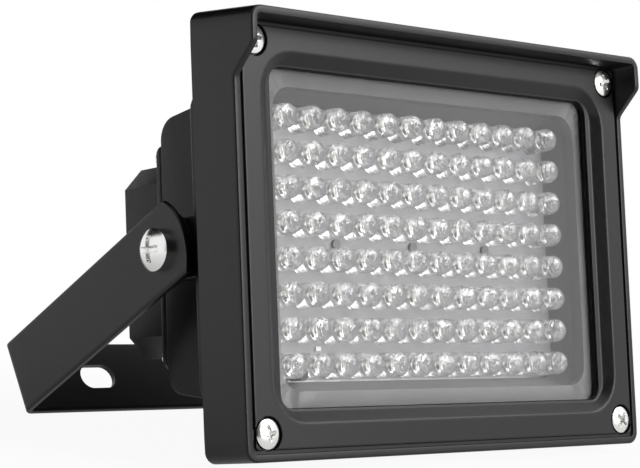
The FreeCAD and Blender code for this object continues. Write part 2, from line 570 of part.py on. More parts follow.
def led_tray():
    """White tray round the emitters: a flange behind the grey frame and a sleeve down to the board."""
    body = slab("led_tray", "pane_width", "pane_height", "pane_round", "tray_front", "tray_flange")
    sketch = face_sketch(body, "plate_front")
    rounded(sketch, "sleeve_width", "sleeve_height", "sleeve_round")
    pad(body, sketch, "sleeve_reach")
    mouth = ("mouth_width", "mouth_height", "window_round")
    opening(body, *mouth, "tray_front", "tray_depth", TaperAngle="-tray_lean")
    return body


def led_array():
    """The domed emitters, each a flanged lens with a bevelled tip, repeated over one rectangular grid."""
    body = new_body("led_array")
    for radius, height in (("led_lens_radius", "led_height"), ("led_flange_radius", "led_rim")):
        bar = body.newObject("PartDesign::AdditivePrism", "Emitter")
        bar.AttachmentSupport = [(plane_of(body, "XZ_Plane"), "")]
        bar.MapMode = "FlatFace"
        tie(bar, Polygon="led_sides", Circumradius=radius, Height=height)
        tie(bar, AttachmentOffset__Base__x="led_left", AttachmentOffset__Base__y="led_low",
            AttachmentOffset__Base__z="-board_front")
        body.Tip = bar
        doc.recompute()
        if radius == "led_lens_radius":
            tip = size("board_front") - size("led_height")
            bevel = dress(body, "Chamfer", lambda ends: all(abs(p.y - tip) < CLOSE for p in ends),
                          Size="led_tip_rise", Size2="led_tip_side")
            bevel.ChamferType = "Two distances"
            doc.recompute()
    pattern = body.newObject("PartDesign::LinearPattern", "Grid")
    pattern.TransformMode = "Whole shape"
    pattern.Direction = (plane_of(body, "X_Axis"), [""])
    pattern.Direction2 = (plane_of(body, "Z_Axis"), [""])
    tie(pattern, Length="grid_width", Occurrences="led_columns")
    tie(pattern, Length2="grid_height", Occurrences2="led_rows")
    body.Tip = pattern
    doc.recompute()
    return body


def small_screw(name, side, up, shoulder, top, end, radius, head_radius):
    """A plain cheese-head screw about an axis that runs from front to back."""
    corners = [(None, top), (head_radius, top), (head_radius, shoulder), (radius, shoulder), (radius, end),
               (None, end)]
    return turned(name, corners, "V_Axis", (side, None), up)


def bezel_screws():
    """Four pan-head screws with a cross recess, in the counterbores at the corners."""
    corners = [(None, "screw_top"), ("screw_crown_radius", "screw_top"),
               ("screw_head_radius", "screw_shoulder"), ("screw_head_radius", "sink_depth"),
               ("screw_radius", "sink_depth"), ("screw_radius", "screw_end"), (None, "screw_end")]
    one = turned("bezel_screw", corners, "V_Axis", ("screw_side", None), "screw_height")
    cross_recess(one, "XZ_Plane", "screw_proud", ("screw_side", "screw_height"), "recess_length",
                 "recess_width", "recess_depth", True)
    return four(one, "bezel_screws")


def board_screws():
    """Three small screws that hold the board on the heat spreader."""
    sizes = ("board_front", "board_screw_top", "spreader_back", "board_pin_radius", "board_screw_radius")
    middle = small_screw("board_screw_middle", None, None, *sizes)
    side = small_screw("board_screw_side", "board_screw_step", None, *sizes)
    return fuse_apart("board_screws", middle, pair(side, "board_screws_outer"))


def fuse_apart(name, *shapes):
    """Several pieces kept as separate solids of one group."""
    group = doc.addObject("Part::Compound", name)
    group.Links = list(shapes)
    doc.recompute()
    return group


def rear_housing():
    """Stepped casting: a plate in the bezel's skirt, a wide flange, a drafted body and a boss each side."""
    body = slab("rear_housing", "plate_width", "plate_height", "skirt_round", "plate_front", "plate_thick")
    sketch = face_sketch(body, "plate_front")
    rounded(sketch, "flange_width", "flange_height", "flange_round")
    pad(body, sketch, "flange_length")
    sketch = sketch_on(body, "YZ_Plane")
    polygon(sketch, [("flange_floor", "body_root_low"), ("body_step", "body_root_low"),
                     ("body_back", "body_tail_low"), ("body_back", "body_tail"), ("body_step", "body_root"),
                     ("flange_floor", "body_root")])
    pad(body, sketch, "body_width", middle=True)
    dress(body, "Fillet", lambda ends: all(near(p.y, "body_back") for p in ends)
          and abs(ends[0].z - ends[2].z) < CLOSE, Radius="body_round")
    sketch = sketch_on(body, "YZ_Plane")
    polygon(sketch, [("flange_floor", "pad_low"), ("pivot_back", "pad_low"), ("pivot_back", "pad_high"),
                     ("flange_floor", "pad_high")])
    pad(body, sketch, "flange_width", middle=True)
    sketch = sketch_on(body, "YZ_Plane")
    circle_at(sketch, "pivot_back", None, "pad_width")
    pad(body, sketch, "flange_width", middle=True)
    opening(body, "cavity_width", "cavity_height", "cavity_round", "plate_front", "cavity_depth")
    sketch = sketch_on(body, "YZ_Plane")
    polygon(sketch, [("plate_front", "bay_root_low"), ("body_step", "bay_root_low"), ("bay_bend", "bay_low"),
                     ("wall_front", "bay_bend_low"), ("wall_front", "bay_bend_high"),
                     ("bay_bend", "bay_high"), ("body_step", "bay_root"), ("plate_front", "bay_root")])
    pocket(body, sketch, "bay_width", middle=True)
    sketch = face_sketch(body, "spreader_back")
    four_circles(sketch, "post_side", "post_high", "post_size")
    pad(body, sketch, "post_length")
    opening(body, "back_open_width", "back_open_height", "cavity_round", "wall_front", "back_open_depth")
    holes = (("screw_hole", "screw_side", "screw_height", "plate_front", "plate_thick"),
             ("post_hole", "post_side", "post_high", "spreader_back", "post_hole_depth"),
             ("cover_screw_hole", "cover_screw_side", "cover_screw_high", "wall_front", "back_wall"))
    for diameter, side, up, depth, length in holes:
        sketch = face_sketch(body, depth)
        four_circles(sketch, side, up, diameter)
        pocket(body, sketch, length)
    for offset, back in (("flange_half", True), ("-flange_half", False)):
        sketch = sketch_on(body, "YZ_Plane", offset)
        circle_at(sketch, "pivot_back", None, "turn_hole")
        pocket(body, sketch, "bolt_hole_depth", back)
    return body


def rear_cover():
    """Cast cover: a thin flange that carries an eight-sided box, hollow behind the housing's opening."""
    body = slab("rear_cover", "cover_width", "cover_height", "cover_round", "cover_front", "cover_thick")
    sketch = face_sketch(body, "cover_front")
    polygon(sketch, [("box_top_left", "box_low"), ("box_top_right", "box_low"), ("box_half", "box_side_low"),
                     ("box_half", "box_side_top"), ("box_top_right", "box_half_high"),
                     ("box_top_left", "box_half_high"), ("box_left", "box_side_top"),
                     ("box_left", "box_side_low")])
    pad(body, sketch, "box_length")
    opening(body, "well_width", "well_height", "box_corner", "cover_front", "well_depth")
    sketch = face_sketch(body, "cover_front")
    four_circles(sketch, "cover_screw_side", "cover_screw_high", "cover_screw_hole")
    pocket(body, sketch, "cover_thick")
    sketch = face_sketch(body, "well_back")
    circle_at(sketch, None, None, "gland_hole")
    pocket(body, sketch, "box_wall")
    return body


def cover_gasket():
    """Flat seal under the rear cover's flange, with a hole for each screw."""
    outer = ("cover_width", "cover_height", "cover_round")
    inner = ("back_open_width", "back_open_height", "cavity_round")
    body = ring("cover_gasket", outer, inner, "body_back", "cover_seal")
    sketch = face_sketch(body, "body_back")
    four_circles(sketch, "cover_screw_side", "cover_screw_high", "cover_screw_hole")
    pocket(body, sketch, "cover_seal")
    return body


def housing_gasket():
    """Flat seal between the bezel and the housing's front plate, with a hole for each screw."""
    outer = ("plate_width", "plate_height", "skirt_round")
    inner = ("gasket_inner_width", "gasket_inner_height", "skirt_round")
    body = ring("housing_gasket", outer, inner, "gasket_front", "gasket_thick")
    sketch = face_sketch(body, "gasket_front")
    four_circles(sketch, "screw_side", "screw_height", "screw_hole")
    pocket(body, sketch, "gasket_thick")
    return body


def led_board():
    """White emitter board with a hole for each of its three screws."""
    body = slab("led_board", "board_width", "board_height", "board_round", "board_front", "board_thick")
    sketch = face_sketch(body, "board_front")
    for across in (None, "board_screw_step", "-board_screw_step"):
        circle_at(sketch, across, None, "board_hole")
    pocket(body, sketch, "board_thick")
    return body


def heat_spreader():
    """Aluminium plate behind the board, drilled for the board's screws and for its own in the corners."""
    outer = ("spreader_width", "spreader_height", "board_round")
    body = slab("heat_spreader", *outer, "board_back", "spreader_thick")
    sketch = face_sketch(body, "board_back")
    for across in (None, "board_screw_step", "-board_screw_step"):
        circle_at(sketch, across, None, "board_hole")
    four_circles(sketch, "post_side", "post_high", "post_hole")
    pocket(body, sketch, "spreader_thick")
    return body


def driver_board():
    """Circuit board of the supply, on four pillars behind the heat spreader."""
    outer = ("driver_width", "driver_height", "board_round")
    body = slab("driver_board", *outer, "driver_front", "driver_thick")
    sketch = face_sketch(body, "driver_front")
    four_circles(sketch, "pillar_side", "pillar_high", "driver_hole")
    pocket(body, sketch, "driver_thick")
    return body


def driver_pillars():
    """Four threaded pillars between the heat spreader and the supply's board."""
    place = ("driver_back", "pillar_side", "spreader_back", "pillar_high")
    bar = cylinder("pillar_bar", "pillar_radius", *place)
    bore = cylinder("pillar_bore", "driver_bore", *place)
    return four(cut("driver_pillar", bar, bore), "driver_pillars")


def driver_parts():
    """Two upright capacitors, a ring coil and a terminal block on the supply's board."""
    can = cylinder("driver_can", "can_radius", "can_high", "can_step", "driver_rear", "can_up")
    coil = cylinder("coil_bar", "coil_radius", "coil_high", None, "driver_rear", "can_up")
    bore = cylinder("coil_bore_bar", "coil_hole", "coil_high", None, "driver_rear", "can_up")
    block = doc.addObject("Part::Box", "terminal_block")
    tie(block, Length="block_long", Width="block_high", Height="block_wide", Placement__Base__x="block_left",
        Placement__Base__y="driver_rear", Placement__Base__z="block_low")
    return pair(can, "driver_capacitors"), cut("driver_coil", coil, bore), block


def cable_gland():
    """Cable gland in the rear cover: body, lock nut inside, cap nut and rubber seal."""
    stem = cylinder("gland_stem", "gland_radius", "gland_length", None, "gland_inner")
    collar = hexagon("gland_collar", "gland_hex", "gland_flange", "box_back")
    bore = cylinder("gland_through", "gland_bore_radius", "gland_length", None, "gland_inner")
    gland = cut("gland_body", fuse("gland_blank", stem, collar), bore)
    nut_hole = cylinder("nut_hole", "gland_hole_radius", "nut_thick", None, "nut_front")
    nut = cut("gland_lock_nut", hexagon("nut_blank", "nut_hex", "nut_thick", "nut_front"), nut_hole)
    cap_hole = cylinder("cap_hole", "gland_hole_radius", "cap_room", None, "gland_back")
    cap_open = cylinder("cap_open", "cap_mouth_radius", "cap_long", None, "gland_back")
    blank = hexagon("cap_blank", "cap_hex", "cap_long", "gland_back")
    cap = cut("gland_cap", cut("cap_cup", blank, cap_hole), cap_open)
    seal_bar = cylinder("seal_bar", "gland_bore_radius", "seal_long", None, "seal_front")
    seal_hole = cylinder("seal_hole", "seal_bore_radius", "seal_long", None, "seal_front")
    return gland, nut, cap, cut("gland_seal", seal_bar, seal_hole)


def pivot_pieces():
    """On each side a thick washer between boss and arm, and a cross-head bolt through both into the boss."""
    across = (V(0, 1, 0), 90)
    disc = cylinder("washer_disc", "washer_outer", "washer_thick", "flange_half", "pivot_back", None, across)
    hole = cylinder("washer_hole", "washer_bore", "washer_thick", "flange_half", "pivot_back", None, across)
    washers = pair(cut("pivot_washer", disc, hole), "pivot_washers")
    corners = [("bolt_top", None), ("bolt_top", "bolt_crown_radius"), ("bolt_shoulder", "bolt_head_radius"),
               ("arm_outer", "bolt_head_radius"), ("arm_outer", "bolt_radius"), ("bolt_end", "bolt_radius"),
               ("bolt_end", None)]
    bolt = turned("pivot_bolt", corners, "H_Axis", (None, "pivot_back"))
    cross_recess(bolt, "YZ_Plane", "bolt_top", ("pivot_back", None), "bolt_recess_length",
                 "bolt_recess_width", "bolt_recess_depth", True)
    return washers, pair(bolt, "pivot_bolts")


def arch_cut(sketch):
    """The waste beyond an arm's arched end: three lines closed by an arc about a point behind the end."""
    centre = V(size("arm_arc_back"), 0, 0)
    circle = Part.Circle(centre, V(0, 0, 1), size("arm_arc"))
    ends = [V(size("nose_meet"), size(up), 0) for up in ("nose_half", "nose_low")]
    far = [V(size("nose_far"), size(up), 0) for up in ("nose_low", "nose_half")]
    sketch.addGeometry(Part.ArcOfCircle(circle, circle.parameter(ends[0]), circle.parameter(ends[1])))
    for start, end in ((ends[1], far[0]), (far[0], far[1]), (far[1], ends[0])):
        sketch.addGeometry(Part.LineSegment(start, end))
    for first, second in ((0, 1), (1, 2), (2, 3), (3, 0)):
        sketch.addConstraint(Sketcher.Constraint("Coincident", first, 2, second, 1))
    pin_point(sketch, 0, 3, "arm_arc_back", None)
    pin_point(sketch, 2, 1, "nose_far", "nose_low")
    pin_point(sketch, 2, 2, "nose_far", "nose_half")
    for line in (1, 3):
        sketch.addConstraint(Sketcher.Constraint("Horizontal", line))
    radius = sketch.addConstraint(Sketcher.Constraint("Radius", 0, size("arm_arc")))
    sketch.setExpression(f"Constraints[{radius}]", "Sizes.arm_arc")


def u_bracket():
    """Folded steel strip: two arms with arched ends, bends at the base, a bolt hole and two slots."""
    body = new_body("u_bracket")
    sketch = sketch_on(body, "XY_Plane")
    polygon(sketch, [("arm_outer_left", "arm_nose"), ("arm_outer_left", "arm_reach"),
                     ("arm_outer", "arm_reach"), ("arm_outer", "arm_nose"), ("arm_inner", "arm_nose"),
                     ("arm_inner", "base_inner"), ("arm_inner_left", "base_inner"),
                     ("arm_inner_left", "arm_nose")])
    pad(body, sketch, "strip_width", middle=True)
    bends = (("arm_reach", "arm_outer", "bend_outside"), ("base_inner", "arm_inner", "bend_inside"))
    for back, side, radius in bends:
        dress(body, "Fillet", lambda ends: all(near(p.y, back) and near(abs(p.x), side) for p in ends),
              Radius=radius)
    sketch = sketch_on(body, "YZ_Plane")
    arch_cut(sketch)
    pocket(body, sketch, "cut_across", middle=True)
    dress(body, "Fillet", lambda ends: all(near(p.y, "arm_corner") and near(p.z, "strip_half") for p in ends),
          Radius="arm_round")
    sketch = sketch_on(body, "YZ_Plane")
    circle_at(sketch, None, None, "turn_hole")
    pocket(body, sketch, "cut_across", middle=True)
    for places in ((None, "slot_inner", "-slot_inner"), ("slot_outer", "-slot_outer")):
        sketch = face_sketch(body, "base_inner")
        for across in places:
            circle_at(sketch, across, None, "slot_wide")
        pocket(body, sketch, "sheet_thick")
    sketch = face_sketch(body, "base_inner")
    for near_end, far_end in (("slot_inner", "slot_outer"), ("slot_outer_left", "slot_inner_left")):
        polygon(sketch, [(near_end, "slot_low"), (far_end, "slot_low"), (far_end, "slot_half"),
                         (near_end, "slot_half")])
    pocket(body, sketch, "sheet_thick")
    return body


def light_sensor():
    """Round light sensor in the lower left corner of the board."""
    place = ("sensor_left", "sensor_front", "sensor_low")
    bar = cylinder("light_sensor", "sensor_radius", "sensor_high", *place)
    doc.recompute()
    return bar


def board_chip():
    """Small chip resistor beside the light sensor."""
    box = doc.addObject("Part::Box", "board_chip")
    tie(box, Length="chip_long", Width="chip_high", Height="chip_wide", Placement__Base__x="chip_left",
        Placement__Base__y="chip_front", Placement__Base__z="chip_low")
    doc.recompute()
    return box


def stand(piece, name, turn="lean", back="stand_back", up="stand_up"):
    """Name a finished piece and lean it to the way that the lamp stands."""
    piece.Label = name
    piece.Placement = FreeCAD.Placement(V(), FreeCAD.Rotation(V(-1, 0, 0), size(turn)))
    tie(piece, Placement__Rotation__Angle=turn, Placement__Base__y=back, Placement__Base__z=up)
    return piece


def grouped(piece, name):
    """A group of one, so that a piece that has a place of its own can be leaned as a whole."""
    if piece.TypeId in ("PartDesign::Body", "Part::Compound"):
        return piece
    piece.Label = name + " as made"
    return fuse_apart(name + "_set", piece)


def build():
    """Make every piece of the lamp head in the order in which it is put together, then the bracket."""
    pane = ("pane_width", "pane_height", "pane_round")
    mouth = ("mouth_width", "mouth_height", "window_round")
    sight = ("seal_width", "seal_height", "seal_round")
    capacitors, coil, block = driver_parts()
    gland, nut, cap, seal = cable_gland()
    washers, bolts = pivot_pieces()
    driver_screw = small_screw("driver_screw_one", "pillar_side", "pillar_high", "driver_rear",
                               "driver_screw_top", "driver_screw_end", "driver_screw_radius",
                               "driver_head_radius")
    cover_screw = small_screw("cover_screw_one", "cover_screw_side", "cover_screw_high", "cover_back",
                              "cover_screw_top", "cover_screw_end", "cover_screw_radius",
                              "cover_head_radius")
    post_screw = small_screw("post_screw_one", "post_side", "post_high", "board_back", "post_screw_top",
                             "post_screw_end", "post_pin_radius", "post_head_radius")
    head = {
        "rear_housing": rear_housing(), "heat_spreader": heat_spreader(),
        "spreader_screws": four(post_screw, "spreader_screws"), "led_board": led_board(),
        "led_array": led_array(), "light_sensor": light_sensor(), "board_chip": board_chip(),
        "board_screws": board_screws(), "led_tray": led_tray(),
        "inner_frame": ring("inner_frame", pane, mouth, "frame_front", "frame_thick"),
        "glass_window": slab("glass_window", *pane, "glass_front", "glass_thick"),
        "front_seal": ring("front_seal", pane, sight, "lip_back", "seal_thick"),
        "front_bezel": front_bezel(), "housing_gasket": housing_gasket(), "bezel_screws": bezel_screws(),
        "driver_pillars": driver_pillars(), "driver_board": driver_board(),
        "driver_screws": four(driver_screw, "driver_screws"), "driver_capacitors": capacitors,
        "driver_coil": coil, "terminal_block": block, "cover_gasket": cover_gasket(),
        "rear_cover": rear_cover(),
        "cover_screws": four(cover_screw, "cover_screws"), "gland_body": gland, "gland_lock_nut": nut,
        "gland_cap": cap, "gland_seal": seal, "pivot_washers": washers, "pivot_bolts": bolts,
    }
    pieces = [stand(grouped(piece, name), name) for name, piece in head.items()]
    pieces.append(stand(u_bracket(), "u_bracket", "bracket_turn", "pivot_world_back", "pivot_world_up"))
    return pieces


def centre(pieces):
    """Move the origin under the middle of the lamp's length."""
    doc.recompute()
    boxes = [piece.Shape.optimalBoundingBox(False, False) for piece in pieces]
    low = min(box.YMin for box in boxes)
    high = max(box.YMax for box in boxes)
    sheet.set(f"B{len(SIZES) + 1}", str(-(low + high) / 2))
    doc.recompute()


def check_document(pieces):
    """Stop if any object of the document failed, or a piece has no sound solid."""
    for thing in doc.Objects:
        bad = {"Invalid", "Error"} & set(thing.State)
        assert not bad, f"{thing.Label} is {bad}"
    for piece in pieces:
        shape = piece.Shape
        assert not shape.isNull() and shape.isValid() and shape.Solids, f"{piece.Label} has no sound solid"


def write_pieces(pieces):
    """Write each piece to a file of its own name."""
    os.makedirs("parts", exist_ok=True)
    for piece in pieces:
        piece.Shape.exportStep(os.path.join("parts", piece.Label + ".step"))


fill_sheet()
PIECES = build()
centre(PIECES)
check_document(PIECES)
write_pieces(PIECES)
print(len(PIECES), "pieces written")
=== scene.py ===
import math

import bmesh
import bpy
import numpy as np
from mathutils import Matrix, Vector


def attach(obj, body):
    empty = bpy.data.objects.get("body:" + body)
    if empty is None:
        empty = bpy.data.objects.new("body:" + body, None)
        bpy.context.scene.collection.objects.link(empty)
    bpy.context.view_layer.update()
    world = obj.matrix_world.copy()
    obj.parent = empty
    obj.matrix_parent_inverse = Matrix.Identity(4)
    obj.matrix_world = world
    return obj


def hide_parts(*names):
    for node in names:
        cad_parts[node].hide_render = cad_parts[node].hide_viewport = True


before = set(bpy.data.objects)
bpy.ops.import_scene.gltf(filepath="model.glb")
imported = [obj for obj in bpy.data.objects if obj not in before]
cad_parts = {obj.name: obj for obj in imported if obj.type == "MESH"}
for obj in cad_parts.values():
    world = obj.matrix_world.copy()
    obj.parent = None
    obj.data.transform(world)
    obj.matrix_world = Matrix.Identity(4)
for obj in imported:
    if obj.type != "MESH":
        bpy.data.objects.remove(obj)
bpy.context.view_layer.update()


# Studio: a sheet of white paper under the illuminator, two large softboxes in front of it and a plain white
# surround. The camera stands low beside its front left corner, with a long lens. Sheets of black felt darken
# what the paint and the glass mirror.
def linear(code):
    """Linear colour of an sRGB hex code: each channel as a share of 255 with the sRGB curve taken off."""
    channel = np.array([int(code[start:start + 2], 16) for start in (1, 3, 5)]) / 255
    plain = np.where(channel <= 0.04045, channel / 12.92, ((channel + 0.055) / 1.055) ** 2.4)
    return (*(float(value) for value in plain), 1.0)


def add_node(tree, kind, values=(), links=(), **settings):
    """Adds one node with its settings, the values of its inputs and the outputs that feed them."""
    made = tree.nodes.new(kind)
    for name, value in settings.items():
        setattr(made, name, value)
    for name, value in dict(values).items():
        made.inputs[name].default_value = value
    for name, output in dict(links).items():
        tree.links.new(output, made.inputs[name])
    return made


def node_tree(name):
    """A new material of that name, with an empty node tree."""
    material = bpy.data.materials.new(name)
    material.use_nodes = True
    material.node_tree.nodes.clear()
    return material, material.node_tree


# The camera's place in metres and its three directions were fitted to the emitter grid and the bezel.
camera_place = (-0.4710, -0.5052, 0.0863)
camera_right = (0.7323, -0.6769, 0.0746)
camera_up = (-0.0336, 0.0735, 0.9967)
camera_ahead = np.array([0.6801, 0.7325, -0.0311])
camera_data = bpy.data.cameras.new("photograph_camera")
camera_data.sensor_width = 36.0
camera_data.lens = 118.74
camera_data.clip_end = 50.0
camera = bpy.data.objects.new("photograph_camera", camera_data)
bpy.context.scene.collection.objects.link(camera)
stance = np.eye(4)
stance[:3] = np.stack([camera_right, camera_up, -camera_ahead, camera_place], axis=1)
camera.matrix_world = Matrix(stance.tolist())
bpy.context.scene.camera = camera


def softbox(name, place, target, size, watts):
    """A square area lamp that stands at place and faces target: its -Z axis is turned onto that line."""
    data = bpy.data.lights.new(name, "AREA")
    data.shape, data.size, data.energy = "SQUARE", size, watts
    lamp = bpy.data.objects.new(name, data)
    bpy.context.scene.collection.objects.link(lamp)
    away = Vector(place) - Vector(target)
    lamp.rotation_euler = away.to_track_quat("Z", "Y").to_euler()
    lamp.location = place


# Both softboxes stand where the window doesn't mirror them to the camera.
illuminator_middle = (0.0, -0.01, 0.065)
softbox("front_softbox", (0.46, -1.36, 0.48), illuminator_middle, size=0.6, watts=8.0)
softbox("key_softbox", (0.90, -1.00, 1.05), illuminator_middle, size=0.9, watts=10.5)


def shown_white(tree):
    """Two values: one for rays from the camera and through glass, which see the background as plain white,
    and one for rays off a gloss."""
    path = add_node(tree, "ShaderNodeLightPath")
    seen = add_node(tree, "ShaderNodeMath", operation="MAXIMUM",
                    links={0: path.outputs["Is Camera Ray"], 1: path.outputs["Is Transmission Ray"]})
    return seen.outputs[0], path.outputs["Is Glossy Ray"]


world = bpy.data.worlds.new("white_surround")
bpy.context.scene.world = world
world.use_nodes = True
air = world.node_tree
air.nodes.clear()
# The surround lights the illuminator at a quarter of the white that the camera sees.
plain_ray = add_node(air, "ShaderNodeMath", links=dict(enumerate(shown_white(air))), operation="MAXIMUM")
room = add_node(air, "ShaderNodeBackground", {"Color": linear("#ffffff"), "Strength": 0.25})
white = add_node(air, "ShaderNodeBackground", {"Color": linear("#ffffff"), "Strength": 1.0})
both = add_node(air, "ShaderNodeMixShader",
                links={0: plain_ray.outputs[0], 1: room.outputs[0], 2: white.outputs[0]})
add_node(air, "ShaderNodeOutputWorld", links={"Surface": both.outputs[0]})
bpy.context.scene.view_settings.view_transform = "Standard"

paper, tree = node_tree("White background paper, matt")
# Plain white to the eye, with a share of the illuminator's own shadow left in it that starts to fade 0.1 m
# from its middle and is gone at 0.26 m. A gloss sees more of that shadow, out to 0.5 m.
place = add_node(tree, "ShaderNodeTexCoord").outputs["Object"]
reach = add_node(tree, "ShaderNodeVectorMath", links={0: place}, operation="LENGTH")
shares = []
for ray, far, near_share in zip(shown_white(tree), (0.26, 0.5), (0.94, 0.55)):
    fade = add_node(tree, "ShaderNodeMapRange",
                    {"From Min": 0.10, "From Max": far, "To Min": near_share, "To Max": 1.0},
                    {"Value": reach.outputs["Value"]})
    faded = add_node(tree, "ShaderNodeMath", links={0: ray, 1: fade.outputs["Result"]}, operation="MULTIPLY")
    shares.append(faded.outputs[0])
share = add_node(tree, "ShaderNodeMath", links=dict(enumerate(shares)), operation="MAXIMUM")
sheet = add_node(tree, "ShaderNodeBsdfDiffuse", {"Color": linear("#f0f0f0")})
glow = add_node(tree, "ShaderNodeEmission", {"Color": linear("#ffffff"), "Strength": 1.0})
both = add_node(tree, "ShaderNodeMixShader",
                links={0: share.outputs[0], 1: sheet.outputs[0], 2: glow.outputs[0]})
add_node(tree, "ShaderNodeOutputMaterial", links={"Surface": both.outputs[0]})

felt, tree = node_tree("Black felt of the studio's screens")
# Felt drinks the light, and its tufts of about 4 mm differ a little.
place = add_node(tree, "ShaderNodeTexCoord").outputs["Object"]
fibre = add_node(tree, "ShaderNodeTexNoise", {"Scale": 1 / 0.004}, {"Vector": place})
ramp = add_node(tree, "ShaderNodeValToRGB", links={"Fac": fibre.outputs["Fac"]})
ramp.color_ramp.elements[0].color, ramp.color_ramp.elements[1].color = linear("#050505"), linear("#0c0c0c")
sheet = add_node(tree, "ShaderNodeBsdfDiffuse", links={"Color": ramp.outputs["Color"]})
add_node(tree, "ShaderNodeOutputMaterial", links={"Surface": sheet.outputs[0]})


def screen(name, corners, finish, seen):
    """A flat studio sheet between four corners, in metres. One that isn't seen only darkens reflections."""
    mesh = bpy.data.meshes.new(name)
    mesh.from_pydata(corners, [], [(0, 1, 2, 3)])
    mesh.materials.append(finish)
    made = bpy.data.objects.new(name, mesh)
    bpy.context.scene.collection.objects.link(made)
    made.visible_camera = seen


# The paper lies a hair under the base. One felt hangs behind the camera, the other slopes over the back.
floor_corners = [(-6, -6, -0.0002), (6, -6, -0.0002), (6, 6, -0.0002), (-6, 6, -0.0002)]
flag_corners = [(-1.05, -0.55, -0.0001), (0.06, -1.22, -0.0001), (0.06, -1.22, 1.6), (-1.05, -0.55, 1.6)]
ceiling_corners = [(-1.6, 0.25, 1.7), (1.2, 0.25, 1.7), (1.2, 2.4, 0.9), (-1.6, 2.4, 0.9)]
screen("paper_floor", floor_corners, paper, seen=True)
screen("black_flag", flag_corners, felt, seen=False)
screen("black_ceiling", ceiling_corners, felt, seen=False)


# Bracket: one strip of 2 mm steel, folded into a U whose arms end in an arch round the pivot.
# It is punched with two fixing slots and a middle hole, then powder coated satin black like the bezel.
def smooth_between(mesh, sharp=35):
    """Shades a mesh smooth, except at edges that bend by more than sharp degrees."""
    mesh.polygons.foreach_set("use_smooth", np.ones(len(mesh.polygons), bool))
    mesh.set_sharp_from_angle(angle=math.radians(sharp))


def surface(name, points, finish=None, body=None, around=True, across=False, sharp=35):
    """A mesh from one or more grids of points (rows, columns, place): four neighbours make a face. around
    joins the last column to the first, across the last row to the first, and equal points are welded. An edge
    that bends by more than sharp degrees is drawn sharp. A cutter has no finish and no body."""
    grids = points.reshape(-1, *points.shape[-3:])
    count, rows, columns = grids.shape[:3]
    row = np.arange(rows if across else rows - 1)[:, None]
    column = np.arange(columns if around else columns - 1)[None, :]
    below, beside = (row + 1) % rows, (column + 1) % columns
    cells = np.stack([row * columns + column, row * columns + beside,
                      below * columns + beside, below * columns + column], axis=-1).reshape(-1, 4)
    faces = (cells[None] + (np.arange(count) * rows * columns)[:, None, None]).reshape(-1, 4)
    mesh = bpy.data.meshes.new(name)
    mesh.from_pydata(grids.reshape(-1, 3), [], faces)
    work = bmesh.new()
    work.from_mesh(mesh)
    bmesh.ops.remove_doubles(work, verts=work.verts, dist=1e-6)
    bmesh.ops.recalc_face_normals(work, faces=work.faces)
    work.to_mesh(mesh)
    work.free()
    smooth_between(mesh, sharp)
    made = bpy.data.objects.new(name, mesh)
    bpy.context.scene.collection.objects.link(made)
    if finish:
        mesh.materials.append(finish)
    if body:
        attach(made, body)
    return made


def stand(points, lean, back, up):
    """Drawn millimetres to metres where the illuminator stands: turned by lean about X, then moved back and
    up."""
    points = np.asarray(points, float)
    cosine, sine = math.cos(math.radians(lean)), math.sin(math.radians(lean))
    deep = points[..., 1] * cosine + points[..., 2] * sine + back
    high = points[..., 2] * cosine - points[..., 1] * sine + up
    return np.stack([points[..., 0], deep, high], axis=-1) / 1000


# The lean is in degrees, and the pivot's place is in millimetres back of the origin and above it.
bracket_lean, pivot_back, pivot_up = 34.25516, -9.52791, 58.29262


def bracket_place(points):
    """Bracket millimetres, with the pivot as origin and +Y along the arms, to the stand."""
    return stand(points, bracket_lean, pivot_back, pivot_up)


def punched(made, cutters, joined=()):
    """Joins pieces to a piece and takes the cutters out of it with exact Booleans, then removes what it used
    and marks the sharp edges again."""
    tools = [*joined, *cutters]
    for tool in tools:
        punch = made.modifiers.new(tool.name, "BOOLEAN")
        punch.solver, punch.object = "EXACT", tool
        punch.operation = "UNION" if tool in joined else "DIFFERENCE"
    bpy.context.view_layer.update()
    shaped = bpy.data.meshes.new_from_object(made.evaluated_get(bpy.context.evaluated_depsgraph_get()))
    made.modifiers.clear()
    made.data = shaped
    for tool in tools:
        bpy.data.objects.remove(tool)
    smooth_between(shaped)


